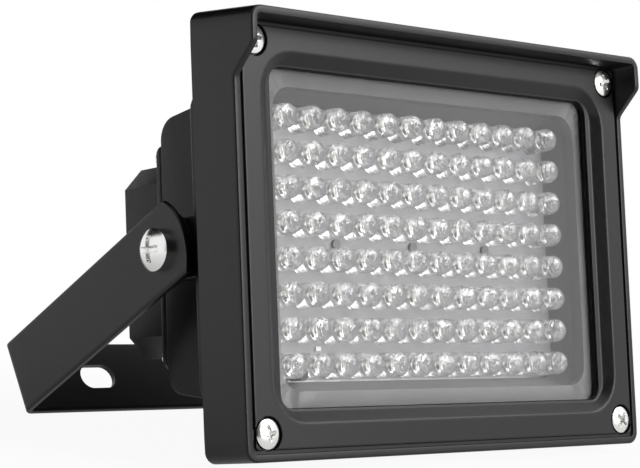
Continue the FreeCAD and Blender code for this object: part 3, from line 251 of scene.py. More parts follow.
def powder(name, smoothest, roughest, level):
    """Black powder coat: its roughness wanders between two values with the orange peel, and level is the
    strength of its sheen."""
    material, tree = node_tree(name)
    place = add_node(tree, "ShaderNodeTexCoord").outputs["Object"]
    # Orange peel of baked powder: low swells about 1.4 mm apart, with a finer grain of about 0.35 mm on them.
    swell = add_node(tree, "ShaderNodeTexNoise", {"Scale": 1 / 0.0014, "Detail": 2.0, "Roughness": 0.45},
                     {"Vector": place})
    grain = add_node(tree, "ShaderNodeTexNoise", {"Scale": 1 / 0.00035, "Detail": 1.0}, {"Vector": place})
    # Cloudy patches some 25 mm wide, where the film lies a little thicker, are slightly paler.
    cloud = add_node(tree, "ShaderNodeTexNoise", {"Scale": 1 / 0.025, "Detail": 2.0}, {"Vector": place})
    ramp = add_node(tree, "ShaderNodeValToRGB", links={"Fac": cloud.outputs["Fac"]})
    thin, thick = ramp.color_ramp.elements
    thin.position, thin.color = 0.3, linear("#0e0e0f")
    thick.position, thick.color = 0.7, linear("#131314")
    gloss = add_node(tree, "ShaderNodeMapRange",
                     {"From Min": 0.3, "From Max": 0.7, "To Min": smoothest, "To Max": roughest},
                     {"Value": swell.outputs["Fac"]})
    low = add_node(tree, "ShaderNodeBump", {"Strength": 0.12, "Distance": 0.00008},
                   {"Height": swell.outputs["Fac"]})
    fine = add_node(tree, "ShaderNodeBump", {"Strength": 0.10, "Distance": 0.00003},
                    {"Height": grain.outputs["Fac"], "Normal": low.outputs["Normal"]})
    shader = add_node(tree, "ShaderNodeBsdfPrincipled", {"IOR": 1.42, "Specular IOR Level": level},
                      {"Base Color": ramp.outputs["Color"], "Roughness": gloss.outputs["Result"],
                       "Normal": fine.outputs["Normal"]})
    add_node(tree, "ShaderNodeOutputMaterial", links={"Surface": shader.outputs[0]})
    return material


powder_coat = powder("Polyester powder coat, satin black, sprayed and baked",
                     smoothest=0.33, roughest=0.40, level=0.5)

sheet_thick, strip_half, edge_round = 2.0, 12.3, 0.45
arm_middle, base_middle, bend_radius = 75.0, 84.5, 2.2
arch_radius, arch_middle = 20.0, 7.8
bend_start = base_middle - bend_radius


def strip_path(arm_steps=14, bend_steps=10, base_steps=25):
    """Middle line of the U from above: an arm, a quarter turn, the base and back again. It comes as places,
    as normals that point out of the U, and as shares from 0 at an arm's end to 1 at its bend."""
    bend = np.linspace(0, math.pi / 2, bend_steps)
    outward = np.stack([np.cos(bend), np.sin(bend)], -1)
    corner = [arm_middle - bend_radius, bend_start] + bend_radius * outward
    arm = np.linspace(0, 1, arm_steps)[:-1, None]
    base_x = np.linspace(corner[-1, 0], -corner[-1, 0], base_steps)[1:-1]
    base = np.stack([base_x, np.full_like(base_x, base_middle)], -1)
    side = np.concatenate([np.hstack([arm_middle + 0 * arm, 0 * arm]), corner])
    side_normals = np.concatenate([np.hstack([1 + 0 * arm, 0 * arm]), outward])
    side_shares = np.concatenate([arm[:, 0], np.ones(bend_steps)])
    mirror = [-1, 1]
    line = np.concatenate([side, base, side[::-1] * mirror])
    normals = np.concatenate([side_normals, 0 * base + [0, 1], side_normals[::-1] * mirror])
    shares = np.concatenate([side_shares, np.ones(len(base)), side_shares[::-1]])
    return line, normals, shares


def strip_section(edge_steps=4, flat_steps=26):
    """The strip's own section, thickness against width: a flat bar whose four edges are quarter circles."""
    half = sheet_thick / 2
    quarter = np.linspace(0, math.pi / 2, edge_steps)
    flat = np.linspace(edge_round - strip_half, strip_half - edge_round, flat_steps)
    right = np.stack([half + 0 * flat, flat], -1)
    right_top = np.stack([half - edge_round + edge_round * np.cos(quarter),
                          strip_half - edge_round + edge_round * np.sin(quarter)], -1)[1:]
    left_top = (right_top * [-1, 1])[::-1]
    left = right[::-1] * [-1, 1]
    left_low = -right_top
    right_low = (left_low * [-1, 1])[::-1]
    return np.concatenate([right, right_top, left_top, left[1:], left_low, right_low[:-1]])


def shut(end, middle_x, drawn=0.55, bulge=0.35, cap=0.1):
    """Closes an arm's end in two rows: the section is drawn in to a share of its thickness as it moves past
    the end by bulge, and then onto the strip's middle sheet, cap further on."""
    first = end.copy()
    first[:, 0] = middle_x + (end[:, 0] - middle_x) * drawn
    first[:, 1] -= bulge
    last = first.copy()
    last[:, 0] = middle_x
    last[:, 1] -= cap
    return first, last


# The places along an arm spread evenly between the arch at its end and the bend.
line, normals, shares = strip_path()
section = strip_section()
width = section[:, 1]
arch = arch_middle - np.sqrt(arch_radius ** 2 - width ** 2)
along = np.where((shares < 1)[:, None], arch + shares[:, None] * (bend_start - arch), line[:, 1:] + 0 * arch)
strip = np.stack([line[:, :1] + normals[:, :1] * section[:, 0],
                  along + normals[:, 1:] * section[:, 0],
                  np.zeros((len(line), 1)) + width], -1)
right_first, right_last = shut(strip[0], arm_middle)
left_first, left_last = shut(strip[-1], -arm_middle)
strip = np.concatenate([[right_last, right_first], strip, [left_first, left_last]])
bracket = surface("folded_steel_bracket", bracket_place(strip), powder_coat, "bracket")


def slot_cutter(name, middle, half_long, radius, axis="Y", ends=(80, 90)):
    """A punch for a slot: two half circles with straight sides between them, carried along the axis."""
    angle = np.linspace(0, 2 * math.pi, 48, endpoint=False)
    shift = np.where(np.cos(angle) >= 0, half_long, -half_long)
    wide, tall = middle + shift + radius * np.cos(angle), radius * np.sin(angle)
    if axis == "Y":
        rings = [np.stack([wide, np.full_like(wide, end), tall], -1) for end in ends]
    else:
        rings = [np.stack([np.full_like(wide, end), wide, tall], -1) for end in ends]
    caps = [np.broadcast_to(ring.mean(0), ring.shape) for ring in rings]
    return surface(name, bracket_place(np.array([caps[0], *rings, caps[1]])))


slot_middle, slot_run, slot_radius, pivot_hole = 43.0, 2.7, 4.3, 3.06
punched(bracket, [slot_cutter("slot_punch_right", slot_middle, slot_run, slot_radius),
                  slot_cutter("slot_punch_left", -slot_middle, slot_run, slot_radius),
                  slot_cutter("hole_punch", 0.0, 0.0, slot_radius),
                  slot_cutter("pivot_punch", 0.0, 0.0, pivot_hole, "X", (-90, 90))])
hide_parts("u_bracket")


# Rear housing: one aluminium casting, a plate inside the bezel's skirt, a wide flange, a body drafted for the
# mould and a boss for the pivot on each side. It holds the board stack, is screwed to the bezel from the
# front and powder coated.
head_lean, head_back, head_up = 9.65516, -57.34091, 66.42693


def head_place(points):
    """Lamp head millimetres, from the middle of the window on the front rim, to the stand."""
    return stand(points, head_lean, head_back, head_up)


def turned(profile, steps, axis="Y"):
    """A profile of (radius, distance along the axis) carried round it: one row of points for each corner."""
    profile = np.asarray(profile, float)
    angle = np.linspace(0, 2 * math.pi, steps, endpoint=False)
    radius, along = profile[:, :1], profile[:, 1:] + 0 * angle
    if axis == "Y":
        return np.stack([radius * np.cos(angle), along, radius * np.sin(angle)], -1)
    return np.stack([along, radius * np.cos(angle), radius * np.sin(angle)], -1)


def rod(radius, start, end):
    """Profile of a plain rod: out from the axis at its start, along, and in again at its end."""
    return [[0, start], [radius, start], [radius, end], [0, end]]


def at_corners(name, profile, side, rise, steps):
    """Turned pieces at the head's four corners, each side from its middle and rise above or below it."""
    corners = [(1, 1), (-1, 1), (1, -1), (-1, -1)]
    return [surface(f"{name}_{number}", head_place(turned(profile, steps) + [across * side, 0, up * rise]))
            for number, (across, up) in enumerate(corners)]


def corner_line(half, low, high, corner, across, up, steps=7):
    """Rounded rectangle seen from the front, anticlockwise from the lower left: straight sides at the shares
    across and the heights up, with quarter circles between. Two steps leave a slanting corner."""
    across = across[:, None] * (half - corner)
    up = np.clip(up, low + corner, high - corner)[:, None]
    bend = np.linspace(0, math.pi / 2, steps)[1:-1, None]
    cosine, sine = corner * np.cos(bend), corner * np.sin(bend)
    right, top, bottom, left = half - corner, high - corner, low + corner, corner - half
    return np.concatenate([
        np.hstack([across, np.full_like(across, low)]),
        np.hstack([right + sine, bottom - cosine]),
        np.hstack([np.full_like(up, half), up]),
        np.hstack([right + cosine, top + sine]),
        np.hstack([across[::-1], np.full_like(across, high)]),
        np.hstack([left - sine, top + cosine]),
        np.hstack([np.full_like(up, -half), up[::-1]]),
        np.hstack([left - cosine, bottom - sine])])


def level_lines(rows, steps=7):
    """Rounded rectangles about the middle, a line for each (half width, half height, corner, depth)."""
    across, up = np.linspace(-1, 1, 5), np.linspace(-60, 60, 5)
    # A height past the end of a line's straight side is drawn in to that end.
    return [np.insert(corner_line(half, -high, high, corner, across, up, steps), 1, depth, axis=1)
            for half, high, corner, depth in rows]


def block(name, rows, steps=7, finish=None, body=None):
    """A closed block seen from the front: level lines, of which the first and last close on their middle."""
    lines = level_lines(rows, steps)
    caps = [np.tile([[0.0, rows[end][3], 0.0]], (len(lines[0]), 1)) for end in (0, -1)]
    return surface(name, head_place(np.array([caps[0], *lines, caps[1]])), finish, body)


def rounded_rows(half, high, corner, depth, radius, steps):
    """Rows of a block with a rounded back edge: each draws in along a quarter circle of the radius."""
    bend = np.linspace(0, math.pi / 2, steps)
    drawn, back = radius * (1 - np.cos(bend)), radius * np.sin(bend)
    return [(half - inward, high - inward, corner, depth + further) for inward, further in zip(drawn, back)]


def carried(name, outline, half, ease, steps=4):
    """A closed outline of (depth, height) carried along X from -half to half: at each end it draws in by ease
    along a quarter circle, and closes on its middle."""
    middle, reach = (outline.max(0) + outline.min(0)) / 2, (outline.max(0) - outline.min(0)) / 2
    bend = np.linspace(0, math.pi / 2, steps)
    side, drawn = half - ease + ease * np.sin(bend), ease * (1 - np.cos(bend))
    side, drawn = np.concatenate([-side[::-1], side]), np.concatenate([drawn[::-1], drawn])
    rings = middle + (outline - middle) * (1 - drawn[:, None, None] / reach)
    points = np.concatenate([np.broadcast_to(side[:, None, None], (*rings.shape[:2], 1)), rings], axis=-1)
    caps = [np.tile([[end, *middle]], (len(outline), 1)) for end in (-half, half)]
    return surface(name, head_place(np.concatenate([[caps[0]], points, [caps[1]]])))


# The housing and its cover are cast in sand and left matt under the same powder, so their sheen is weaker.
matt_coat = powder("Polyester powder coat, matt black, over a sand casting",
                   smoothest=0.36, roughest=0.44, level=0.30)

# Half width, half height and corner of the plate, the flange, the boards' well and the way out behind.
plate, flange = (81.8, 60.0, 3.0), (72.5, 47.0, 6.0)
board_well, way_out = (71.0, 43.2, 1.5), (50.7, 26.2, 1.5)
plate_front, plate_back, flange_back, flange_round = 15.71, 18.7, 35.4, 1.2
housing = block("cast_rear_housing",
                [(*plate, plate_front), (*plate, plate_back), (*flange, plate_back),
                 *rounded_rows(*flange, flange_back, flange_round, steps=5)], finish=matt_coat, body="head")

# The body's height falls with the draft from its root on the flange to the rounding at its back.
body_root, root_depth, body_side, body_front = 46.7, 36.6, 60.0, 34.8
back_depth, back_round, draft = 66.0, 7.0, math.radians(8.6)
body_tail = body_root - (back_depth - root_depth) * math.tan(draft)
round_middle = body_tail - back_round * math.tan(math.pi / 4 - draft / 2)
bend = np.linspace(math.pi / 2 - draft, 0, 9)
body_upper = np.concatenate([[[body_front, body_root], [root_depth, body_root]],
                             np.stack([back_depth - back_round + back_round * np.cos(bend),
                                       round_middle + back_round * np.sin(bend)], -1)])
body_outline = np.concatenate([body_upper * [1, -1], body_upper[::-1]])
housing_body = carried("housing_body", body_outline, body_side, ease=0.5)

pivot_depth, bore_radius, boss_radius, boss_front, boss_side = 48.5, 3.06, 9.2, 34.9, 72.45
half_turn = np.linspace(-math.pi / 2, math.pi / 2, 17)
boss_end = np.stack([pivot_depth + boss_radius * np.cos(half_turn), boss_radius * np.sin(half_turn)], -1)
boss_outline = np.concatenate([[[boss_front, -boss_radius]], boss_end, [[boss_front, boss_radius]]])
boss = carried("pivot_boss", boss_outline, boss_side, ease=0.6)

# The wiring bay follows the body inside, as (depth, height) of its upper half. Posts carry the spreader.
# Here and in the cover, a punch runs on past what it cuts and a post starts inside what carries it.
well_front, well_floor, bay_end, bay_side = 15.0, 35.1, 63.0, 58.5
bay_upper = np.array([[well_front, 43.2], [root_depth, 43.2], [57.5, 40.75], [bay_end, 35.25]])
bay = carried("bay", np.concatenate([bay_upper * [1, -1], bay_upper[::-1]]), bay_side, ease=0.5)
cavity = block("cavity", [(*board_well, well_front), (*board_well, well_floor)])
back_way = block("back_way", [(*way_out, bay_end - 1.0), (*way_out, back_depth + 1.0)])
post_radius, post_front, post_side, post_rise = 4.0, 22.8, 68.0, 40.2
screw_posts = at_corners("post", rod(post_radius, post_front, well_floor + 0.4), post_side, post_rise, 24)
bore_end = boss_side + 0.55
bore = turned(rod(bore_radius, -bore_end, bore_end), 32, "X") + [0, pivot_depth, 0]
pivot_bore = surface("pivot_bore", head_place(bore))
punched(housing, [cavity, bay, back_way], [housing_body, boss])
punched(housing, [pivot_bore], screw_posts)
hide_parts("rear_housing")


# Rear cover: cast plate with an eight-sided box on it, powder coated, on a seal over the opening of the
# wiring bay. Four screws hold it, and the cable gland goes through its back.
cover_half, cover_high, cover_corner = 59.7, 35.2, 3.0
# Each row draws in by its first value at the depth of its second: the front edge is broken, the back rounded.
cover_rows = [(cover_half - inward, cover_high - inward, cover_corner, depth)
              for inward, depth in [(0.4, 66.61), (0.0, 67.0), (0.0, 68.4), (0.15, 68.75), (0.5, 68.9)]]
cover = block("cast_cover_plate", cover_rows, finish=matt_coat, body="head")
# The box stands on the plate with a little draft, and its well is cut out from the front.
box_half, box_high, box_slant, box_draft, box_wall = 54.0, 30.7, 6.7, 0.2, 2.5
box_front, box_back, box_round, box_floor = 67.8, 92.1, 0.9, 90.5
box_rows = [(box_half + box_draft, box_high + box_draft, box_slant, box_front),
            *rounded_rows(box_half, box_high, box_slant, box_back, box_round, steps=4)]
box = block("wiring_box", box_rows, steps=2)
well_size = (box_half - box_wall, box_high - box_wall, box_slant)
box_well = block("well", [(*well_size, back_depth), (*well_size, box_floor)])
gland_hole, screw_hole, screw_out, screw_up = 8.15, 1.65, 55.5, 31.0
gland_way = surface("gland_way", head_place(turned(rod(gland_hole, box_floor - 1.5, box_back + 2.9), 40)))
screw_ways = at_corners("screw_way", rod(screw_hole, back_depth, back_depth + 4.0), screw_out, screw_up, 16)
punched(cover, [box_well, gland_way, *screw_ways], [box])
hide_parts("rear_cover")


# Seals, gaskets and the thick washers behind the bracket's arms: die-cut silicone rubber sheet, matt black,
# squeezed between castings, glass and steel. The window's own seal is a thin ring with tight corners, seen as
# a black line round the pane.
def dress(finish, *names):
    """Gives CAD nodes one material."""
    for name in names:
        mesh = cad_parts[name].data
        mesh.materials.clear()
        mesh.materials.append(finish)


def mottled(name, spot, dark, light, looks, detail=2.0):
    """A material whose colour wanders between two hex values in spots of a width in metres: noise through a
    ramp of the two colours feeds a shader that has the looks given."""
    material, tree = node_tree(name)
    place = add_node(tree, "ShaderNodeTexCoord").outputs["Object"]
    spots = add_node(tree, "ShaderNodeTexNoise", {"Scale": 1 / spot, "Detail": detail}, {"Vector": place})
    ramp = add_node(tree, "ShaderNodeValToRGB", links={"Fac": spots.outputs["Fac"]})
    ramp.color_ramp.elements[0].color, ramp.color_ramp.elements[1].color = linear(dark), linear(light)
    shader = add_node(tree, "ShaderNodeBsdfPrincipled", looks, {"Base Color": ramp.outputs["Color"]})
    add_node(tree, "ShaderNodeOutputMaterial", links={"Surface": shader.outputs[0]})
    return material


# A dull skin with dust-like mottling about 2 mm across.
rubber = mottled("Silicone rubber, black, die-cut sheet", 0.002, "#0c0c0c", "#151515",
                 {"IOR": 1.41, "Roughness": 0.7}, detail=3.0)
dress(rubber, "housing_gasket", "cover_gasket", "gland_seal", "pivot_washers")

# Half width, half height and corner of the ring's outside and of its inside, and its two faces' depths.
seal_outside, seal_inside, seal_front, seal_back = (73.3, 52.6, 10.2), (69.8, 49.1, 4.1), 3.63, 4.17
seal_lines = level_lines([(*seal_outside, seal_front), (*seal_outside, seal_back),
                          (*seal_inside, seal_back), (*seal_inside, seal_front)])
window_seal = surface("cut_window_seal", head_place(np.array(seal_lines)), rubber, "head", across=True)
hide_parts("front_seal")


# Cable gland: moulded black nylon body, lock nut and cap nut round a rubber seal, in the rear cover's back.
# The lock nut inside draws the body's flange against the cover.
nylon, tree = node_tree("Nylon, black, injection moulded")
place = add_node(tree, "ShaderNodeTexCoord").outputs["Object"]
# Moulded grain about 0.6 mm across, faint.
skin = add_node(tree, "ShaderNodeTexNoise", {"Scale": 1 / 0.0006, "Detail": 2.0}, {"Vector": place})
ramp = add_node(tree, "ShaderNodeValToRGB", links={"Fac": skin.outputs["Fac"]})
ramp.color_ramp.elements[0].color, ramp.color_ramp.elements[1].color = linear("#161617"), linear("#1d1d1e")
dent = add_node(tree, "ShaderNodeBump", {"Strength": 0.15, "Distance": 0.00005},
                {"Height": skin.outputs["Fac"]})
shader = add_node(tree, "ShaderNodeBsdfPrincipled", {"IOR": 1.53, "Roughness": 0.42},
                  {"Base Color": ramp.outputs["Color"], "Normal": dent.outputs["Normal"]})
add_node(tree, "ShaderNodeOutputMaterial", links={"Surface": shader.outputs[0]})
dress(nylon, "gland_body", "gland_lock_nut", "gland_cap")


# Heat spreader and pillars: plain aluminium, rolled or turned, left bare inside the housing. The spreader is
# screwed to the housing's posts and carries the emitters' board, the pillars carry the driver.
aluminium, tree = node_tree("Aluminium, rolled and turned, bare")
place = add_node(tree, "ShaderNodeTexCoord").outputs["Object"]
# Rolling lines 0.5 mm apart, stretched fifty times along X.
stretch = add_node(tree, "ShaderNodeMapping", {"Scale": (0.02, 1.0, 1.0)}, {"Vector": place})
rolled = add_node(tree, "ShaderNodeTexNoise", {"Scale": 1 / 0.0005, "Detail": 2.0},
                  {"Vector": stretch.outputs[0]})
gloss = add_node(tree, "ShaderNodeMapRange", {"To Min": 0.28, "To Max": 0.45},
                 {"Value": rolled.outputs["Fac"]})
shader = add_node(tree, "ShaderNodeBsdfPrincipled", {"Base Color": linear("#c9cacc"), "Metallic": 1.0},
                  {"Roughness": gloss.outputs["Result"]})
add_node(tree, "ShaderNodeOutputMaterial", links={"Surface": shader.outputs[0]})
dress(aluminium, "heat_spreader", "driver_pillars")


# Small steel screws of the spreader, the driver board and the cover: cold headed and tumbled bright.
# The bezel's screws and the pivot bolts, further down, are of the same steel.
steel, tree = node_tree("Stainless steel, cold headed and tumbled bright")
place = add_node(tree, "ShaderNodeTexCoord").outputs["Object"]
# Tumbling marks about 0.4 mm across make the gloss uneven.
marks = add_node(tree, "ShaderNodeTexNoise", {"Scale": 1 / 0.0004, "Detail": 2.0}, {"Vector": place})
gloss = add_node(tree, "ShaderNodeMapRange", {"To Min": 0.16, "To Max": 0.30},
                 {"Value": marks.outputs["Fac"]})
dent = add_node(tree, "ShaderNodeBump", {"Strength": 0.12, "Distance": 0.00004},
                {"Height": marks.outputs["Fac"]})
shader = add_node(tree, "ShaderNodeBsdfPrincipled", {"Base Color": linear("#f0f0ee"), "Metallic": 1.0},
                  {"Roughness": gloss.outputs["Result"], "Normal": dent.outputs["Normal"]})
add_node(tree, "ShaderNodeOutputMaterial", links={"Surface": shader.outputs[0]})
dress(steel, "spreader_screws", "driver_screws", "cover_screws")


# Boards: the emitters' board has a white solder mask, the driver board a green one, both on glass-fibre
# laminate. The first is screwed flat to the heat spreader, the second stands on four pillars behind it.
# The masks are smooth films whose colour wanders a little with the weave under them, about 0.5 mm.
boards = {"led_board": ("white", "#858587", "#919193"), "driver_board": ("green", "#12401f", "#1a5229")}
for board, (colour, dark, light) in boards.items():
    mask = mottled(f"Solder mask, {colour}, on glass-fibre board", 0.0005, dark, light,
                   {"IOR": 1.5, "Roughness": 0.4}, detail=1.0)
    dress(mask, board)


# Driver parts: two aluminium cans, a wound coil and a nylon terminal block, soldered to the driver board.
# They turn the supply into the steady current that the emitters need.
enamel, tree = node_tree("Enamelled copper wire, wound")
place = add_node(tree, "ShaderNodeTexCoord").outputs["Object"]
# Clear brown enamel over copper, with painted light on each turn and painted shade in the gaps between.
# A wave texture turns once in 0.314 of its unit, so a unit of 4 mm draws a turn every 1.26 mm, coarse enough
# to show.
turns = add_node(tree, "ShaderNodeTexWave", {"Scale": 1 / 0.004, "Distortion": 0.6}, {"Vector": place})
ramp = add_node(tree, "ShaderNodeValToRGB", links={"Fac": turns.outputs["Fac"]})
ramp.color_ramp.elements[0].color, ramp.color_ramp.elements[1].color = linear("#5a2c14"), linear("#a8622f")
shader = add_node(tree, "ShaderNodeBsdfPrincipled", {"Roughness": 0.35, "Metallic": 0.6},
                  {"Base Color": ramp.outputs["Color"]})
add_node(tree, "ShaderNodeOutputMaterial", links={"Surface": shader.outputs[0]})
dress(enamel, "driver_coil")
dress(aluminium, "driver_capacitors")
dress(nylon, "terminal_block")


# Emitter tray and inner frame: grey moulded plastic. The frame lies against the glass and hides the board's
# rim, and the tray forms the sloping well round the emitters.
# Moulded satin skin with 0.8 mm grain.
grey_abs = mottled("ABS, pale grey, injection moulded", 0.0008, "#6a6a6b", "#727273",
                   {"IOR": 1.52, "Roughness": 0.5})
dress(grey_abs, "led_tray", "inner_frame")


# Emitters: 96 infrared emitters of the 8 mm class, clear epoxy cast over a lead frame, in 12 columns and 8
# rows. Each has a flange at the board, a straight barrel and a round tip, and holds a cup, a post and a die.
led_pitch, led_columns, led_rows, board_front = 10.5, 12, 8, 18.2
column = (np.arange(led_columns) - (led_columns - 1) / 2) * led_pitch
row = (np.arange(led_rows) - (led_rows - 1) / 2) * led_pitch
led_places = np.stack(np.meshgrid(column, [board_front], row, indexing="ij"), -1).reshape(-1, 1, 1, 3)

# The lens stands a little off the board, and the edges of its flange are broken.
lens_radius, lens_high, flange_radius, flange_thick = 3.8, 11.0, 4.1, 1.2
off_board, broken, foot_wide, foot_high = 0.02, 0.08, 0.05, 0.06
tip = np.linspace(0, math.pi / 2, 8)
dome = np.stack([lens_radius * np.cos(tip), -(lens_high - lens_radius) - lens_radius * np.sin(tip)], -1)
lens_foot = [[0, -off_board], [flange_radius - broken, -off_board], [flange_radius, -off_board - broken],
             [flange_radius, -flange_thick + broken], [flange_radius - broken, -flange_thick],
             [lens_radius + foot_wide, -flange_thick], [lens_radius, -flange_thick - foot_high]]


def clear_in_shadow(tree, shader, tint):
    """Ends a clear material: its shader for most rays, but tinted air for shadow rays, so that what lies
    behind it is lit."""
    path = add_node(tree, "ShaderNodeLightPath")
    open_air = add_node(tree, "ShaderNodeBsdfTransparent", {"Color": linear(tint)})
    both = add_node(tree, "ShaderNodeMixShader",
                    links={0: path.outputs["Is Shadow Ray"], 1: shader.outputs[0], 2: open_air.outputs[0]})
    add_node(tree, "ShaderNodeOutputMaterial", links={"Surface": both.outputs[0]})


epoxy, tree = node_tree("Epoxy, water clear, cast in polished moulds")
place = add_node(tree, "ShaderNodeTexCoord").outputs["Object"]
# Rings of the mould run round each emitter 1.1 mm apart along its axis, which leans with the head: a sine of
# the distance along it in steps of 0.175 mm. Flow marks about 1 mm across cross them.
ring_step, lean = 0.000175, math.radians(head_lean)
along_axis = (0.0, math.cos(lean) / ring_step, -math.sin(lean) / ring_step)
depth = add_node(tree, "ShaderNodeVectorMath", {1: along_axis}, {0: place}, operation="DOT_PRODUCT")
rings = add_node(tree, "ShaderNodeMath", links={0: depth.outputs["Value"]}, operation="SINE")
ringed = add_node(tree, "ShaderNodeBump", {"Strength": 1.0, "Distance": 0.00002},
                  {"Height": rings.outputs[0]})
flow = add_node(tree, "ShaderNodeTexNoise", {"Scale": 1 / 0.0010, "Detail": 2.0}, {"Vector": place})
ripple = add_node(tree, "ShaderNodeBump", {"Strength": 1.0, "Distance": 0.00012},
                  {"Height": flow.outputs["Fac"], "Normal": ringed.outputs["Normal"]})
shader = add_node(tree, "ShaderNodeBsdfPrincipled",
                  {"Base Color": linear("#f9f9f9"), "IOR": 1.5, "Roughness": 0.03,
                   "Transmission Weight": 1.0},
                  {"Normal": ripple.outputs["Normal"]})
clear_in_shadow(tree, shader, "#ffffff")
lens_points = turned([*lens_foot, *dome], 24) + led_places
lenses = surface("emitter_lenses", head_place(lens_points), epoxy, "head", sharp=30)
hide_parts("led_array")

silver, tree = node_tree("Silver plate on the stamped lead frame")
place = add_node(tree, "ShaderNodeTexCoord").outputs["Object"]
# Bright plating, dulled in patches of 0.8 mm by the stamping.
tarnish = add_node(tree, "ShaderNodeTexNoise", {"Scale": 1 / 0.0008, "Detail": 2.0}, {"Vector": place})
gloss = add_node(tree, "ShaderNodeMapRange", {"To Min": 0.2, "To Max": 0.4},
                 {"Value": tarnish.outputs["Fac"]})
shader = add_node(tree, "ShaderNodeBsdfPrincipled", {"Base Color": linear("#f2f1ee"), "Metallic": 1.0},
                  {"Roughness": gloss.outputs["Result"]})
add_node(tree, "ShaderNodeOutputMaterial", links={"Surface": shader.outputs[0]})
# The cup's profile runs from its floor over its rim and down its leg, the post's from its top down its leg.
cup_shift, post_shift = [0.35, 0, 0], [-1.75, 0, 0]
cup_profile = [[0, -3.9], [0.5, -3.9], [1.1, -4.9], [1.35, -4.9], [1.35, -4.2], [0.8, -3.4], [0.5, -3.0],
               [0.5, -0.2], [0, -0.2]]
post_profile = [[0, -5.4], [0.5, -5.4], [0.8, -4.8], [0.5, -3.8], [0.4, -0.2], [0, -0.2]]
surface("emitter_cups", head_place(turned(cup_profile, 14) + led_places + cup_shift), silver, "head")
surface("emitter_posts", head_place(turned(post_profile, 8) + led_places + post_shift), silver, "head")

# Sawn faces with a 0.3 mm shimmer between charcoal and a paler grey.
die_dark = mottled("Semiconductor die, dark, sawn", 0.0003, "#262628", "#3a3a3d", {"Roughness": 0.35})
die_radius, die_top, die_floor = 0.42, -4.15, -3.92
surface("emitter_dies", head_place(turned(rod(die_radius, die_top, die_floor), 4) + led_places + cup_shift),
        die_dark, "head")


# Board details: three black board screws, a dark daylight sensor at the lower left and one chip resistor.
# The screws press the board to the heat spreader, and the other two are soldered to it.
# Oiled black oxide drawn as a dull mid grey, which is painted light from the well on the dark steel, with a
# bloom 0.7 mm across.
dark_plate = mottled("Steel, black oxide", 0.0007, "#58585a", "#69696b", {"Roughness": 0.5, "Metallic": 0.2})
dress(dark_plate, "board_screws")

# A glossy dark body with faint clouds 1 mm across.
smoked = mottled("Smoked epoxy, cast", 0.001, "#3a3a3a", "#4a4a4a", {"IOR": 1.5, "Roughness": 0.15})
dress(smoked, "light_sensor")

# White ceramic and bright solder run into specks of 0.4 mm.
ceramic = mottled("Ceramic chip with tinned ends", 0.0004, "#d8d8d4", "#f2f2ee", {"Roughness": 0.35})
dress(ceramic, "board_chip")


# Window: a pane of clear toughened glass with rounded corners and a ground edge.
# The inner frame behind it presses it forward against the seal on the bezel's lip.
glass, tree = node_tree("Toughened float glass, clear, ground edge")
place = add_node(tree, "ShaderNodeTexCoord").outputs["Object"]
# Float glass waves about 40 mm long, very shallow.
wave = add_node(tree, "ShaderNodeTexNoise", {"Scale": 1 / 0.04, "Detail": 0.0}, {"Vector": place})
drift = add_node(tree, "ShaderNodeBump", {"Strength": 0.05, "Distance": 0.0002},
                 {"Height": wave.outputs["Fac"]})
shader = add_node(tree, "ShaderNodeBsdfPrincipled",
                  {"Base Color": linear("#f7f7f7"), "IOR": 1.5, "Roughness": 0.0, "Transmission Weight": 1.0},
                  {"Normal": drift.outputs["Normal"]})
clear_in_shadow(tree, shader, "#f7f7f7")
dress(glass, "glass_window")


# Front bezel: one aluminium casting, a drafted rectangular frame with a hood along the top and a wing at each
# side. Its face has a narrow groove inside the rim and a slope down to the window. It is powder coated, and
# four screws in counterbores draw it onto the housing.
knee_low, knee_high, hood_reach, knee_ease = 45.2, 53.5, 8.6, 0.9


def rim_front(height):
    """Depth of the rim at a height: level with the face up to the low knee, then sloping forward to the
    hood's reach at the high knee. Both knees are eased by the mean over a short stretch of heights."""
    shifts = np.linspace(-knee_ease, knee_ease, 7)
    knees, depths = [knee_low, knee_high], [0.0, -hood_reach]
    return np.mean([np.interp(height + shift, knees, depths) for shift in shifts], axis=0)


# A rail is a line round the bezel: half width, bottom, top, corner, whether it follows the rim, depth.
# The skirt comes forward from its broken back edge, and its top leans in with the draft.
skirt = [(85.6, -63.8, 66.0, 4.0, 0, 18.7), (86.0, -64.2, 66.4, 4.0, 0, 18.3),
         (86.0, -64.2, 66.37, 4.0, 0, 17.5), (85.94, -64.15, 64.18, 4.0, 1, 1.5)]
# The rim's outer edge is a quarter circle, and its inner edge is broken.
rim_radius = 0.6
bend = np.linspace(0, math.pi / 2, 5)
drawn, left_over = rim_radius * (1 - np.cos(bend)), rim_radius * (1 - np.sin(bend))
rim_edge = [(85.94 - inward, -64.15 + inward, 64.1 - inward, 4.0, 1, depth)
            for inward, depth in zip(drawn, left_over)]
rim_inside = [(83.95, -62.15, 62.0, 1.8, 1, 0.0), (83.78, -61.98, 61.83, 1.6, 1, 0.06),
              (83.7, -61.9, 61.7, 1.5, 1, 0.25)]
# The groove is cut straight in behind the rim, and the flat face runs from it to the knee of the slope.
groove = [(83.7, -61.9, 61.7, 1.5, 0, 0.55), (83.55, -61.75, 61.55, 1.4, 0, 0.8),
          (82.65, -60.85, 60.65, 1.2, 0, 0.8), (82.5, -60.7, 60.5, 1.2, 0, 0.55),
          (82.5, -60.7, 60.5, 1.2, 0, 0.25)]
face = [(82.42, -60.62, 60.42, 1.2, 0, 0.07), (82.25, -60.45, 60.25, 1.2, 0, 0.0),
        (81.9, -60.1, 59.9, 1.3, 0, 0.0), (76.5, -54.3, 54.3, 13.1, 0, 0.0),
        (76.1, -53.9, 53.9, 12.9, 0, 0.0)]
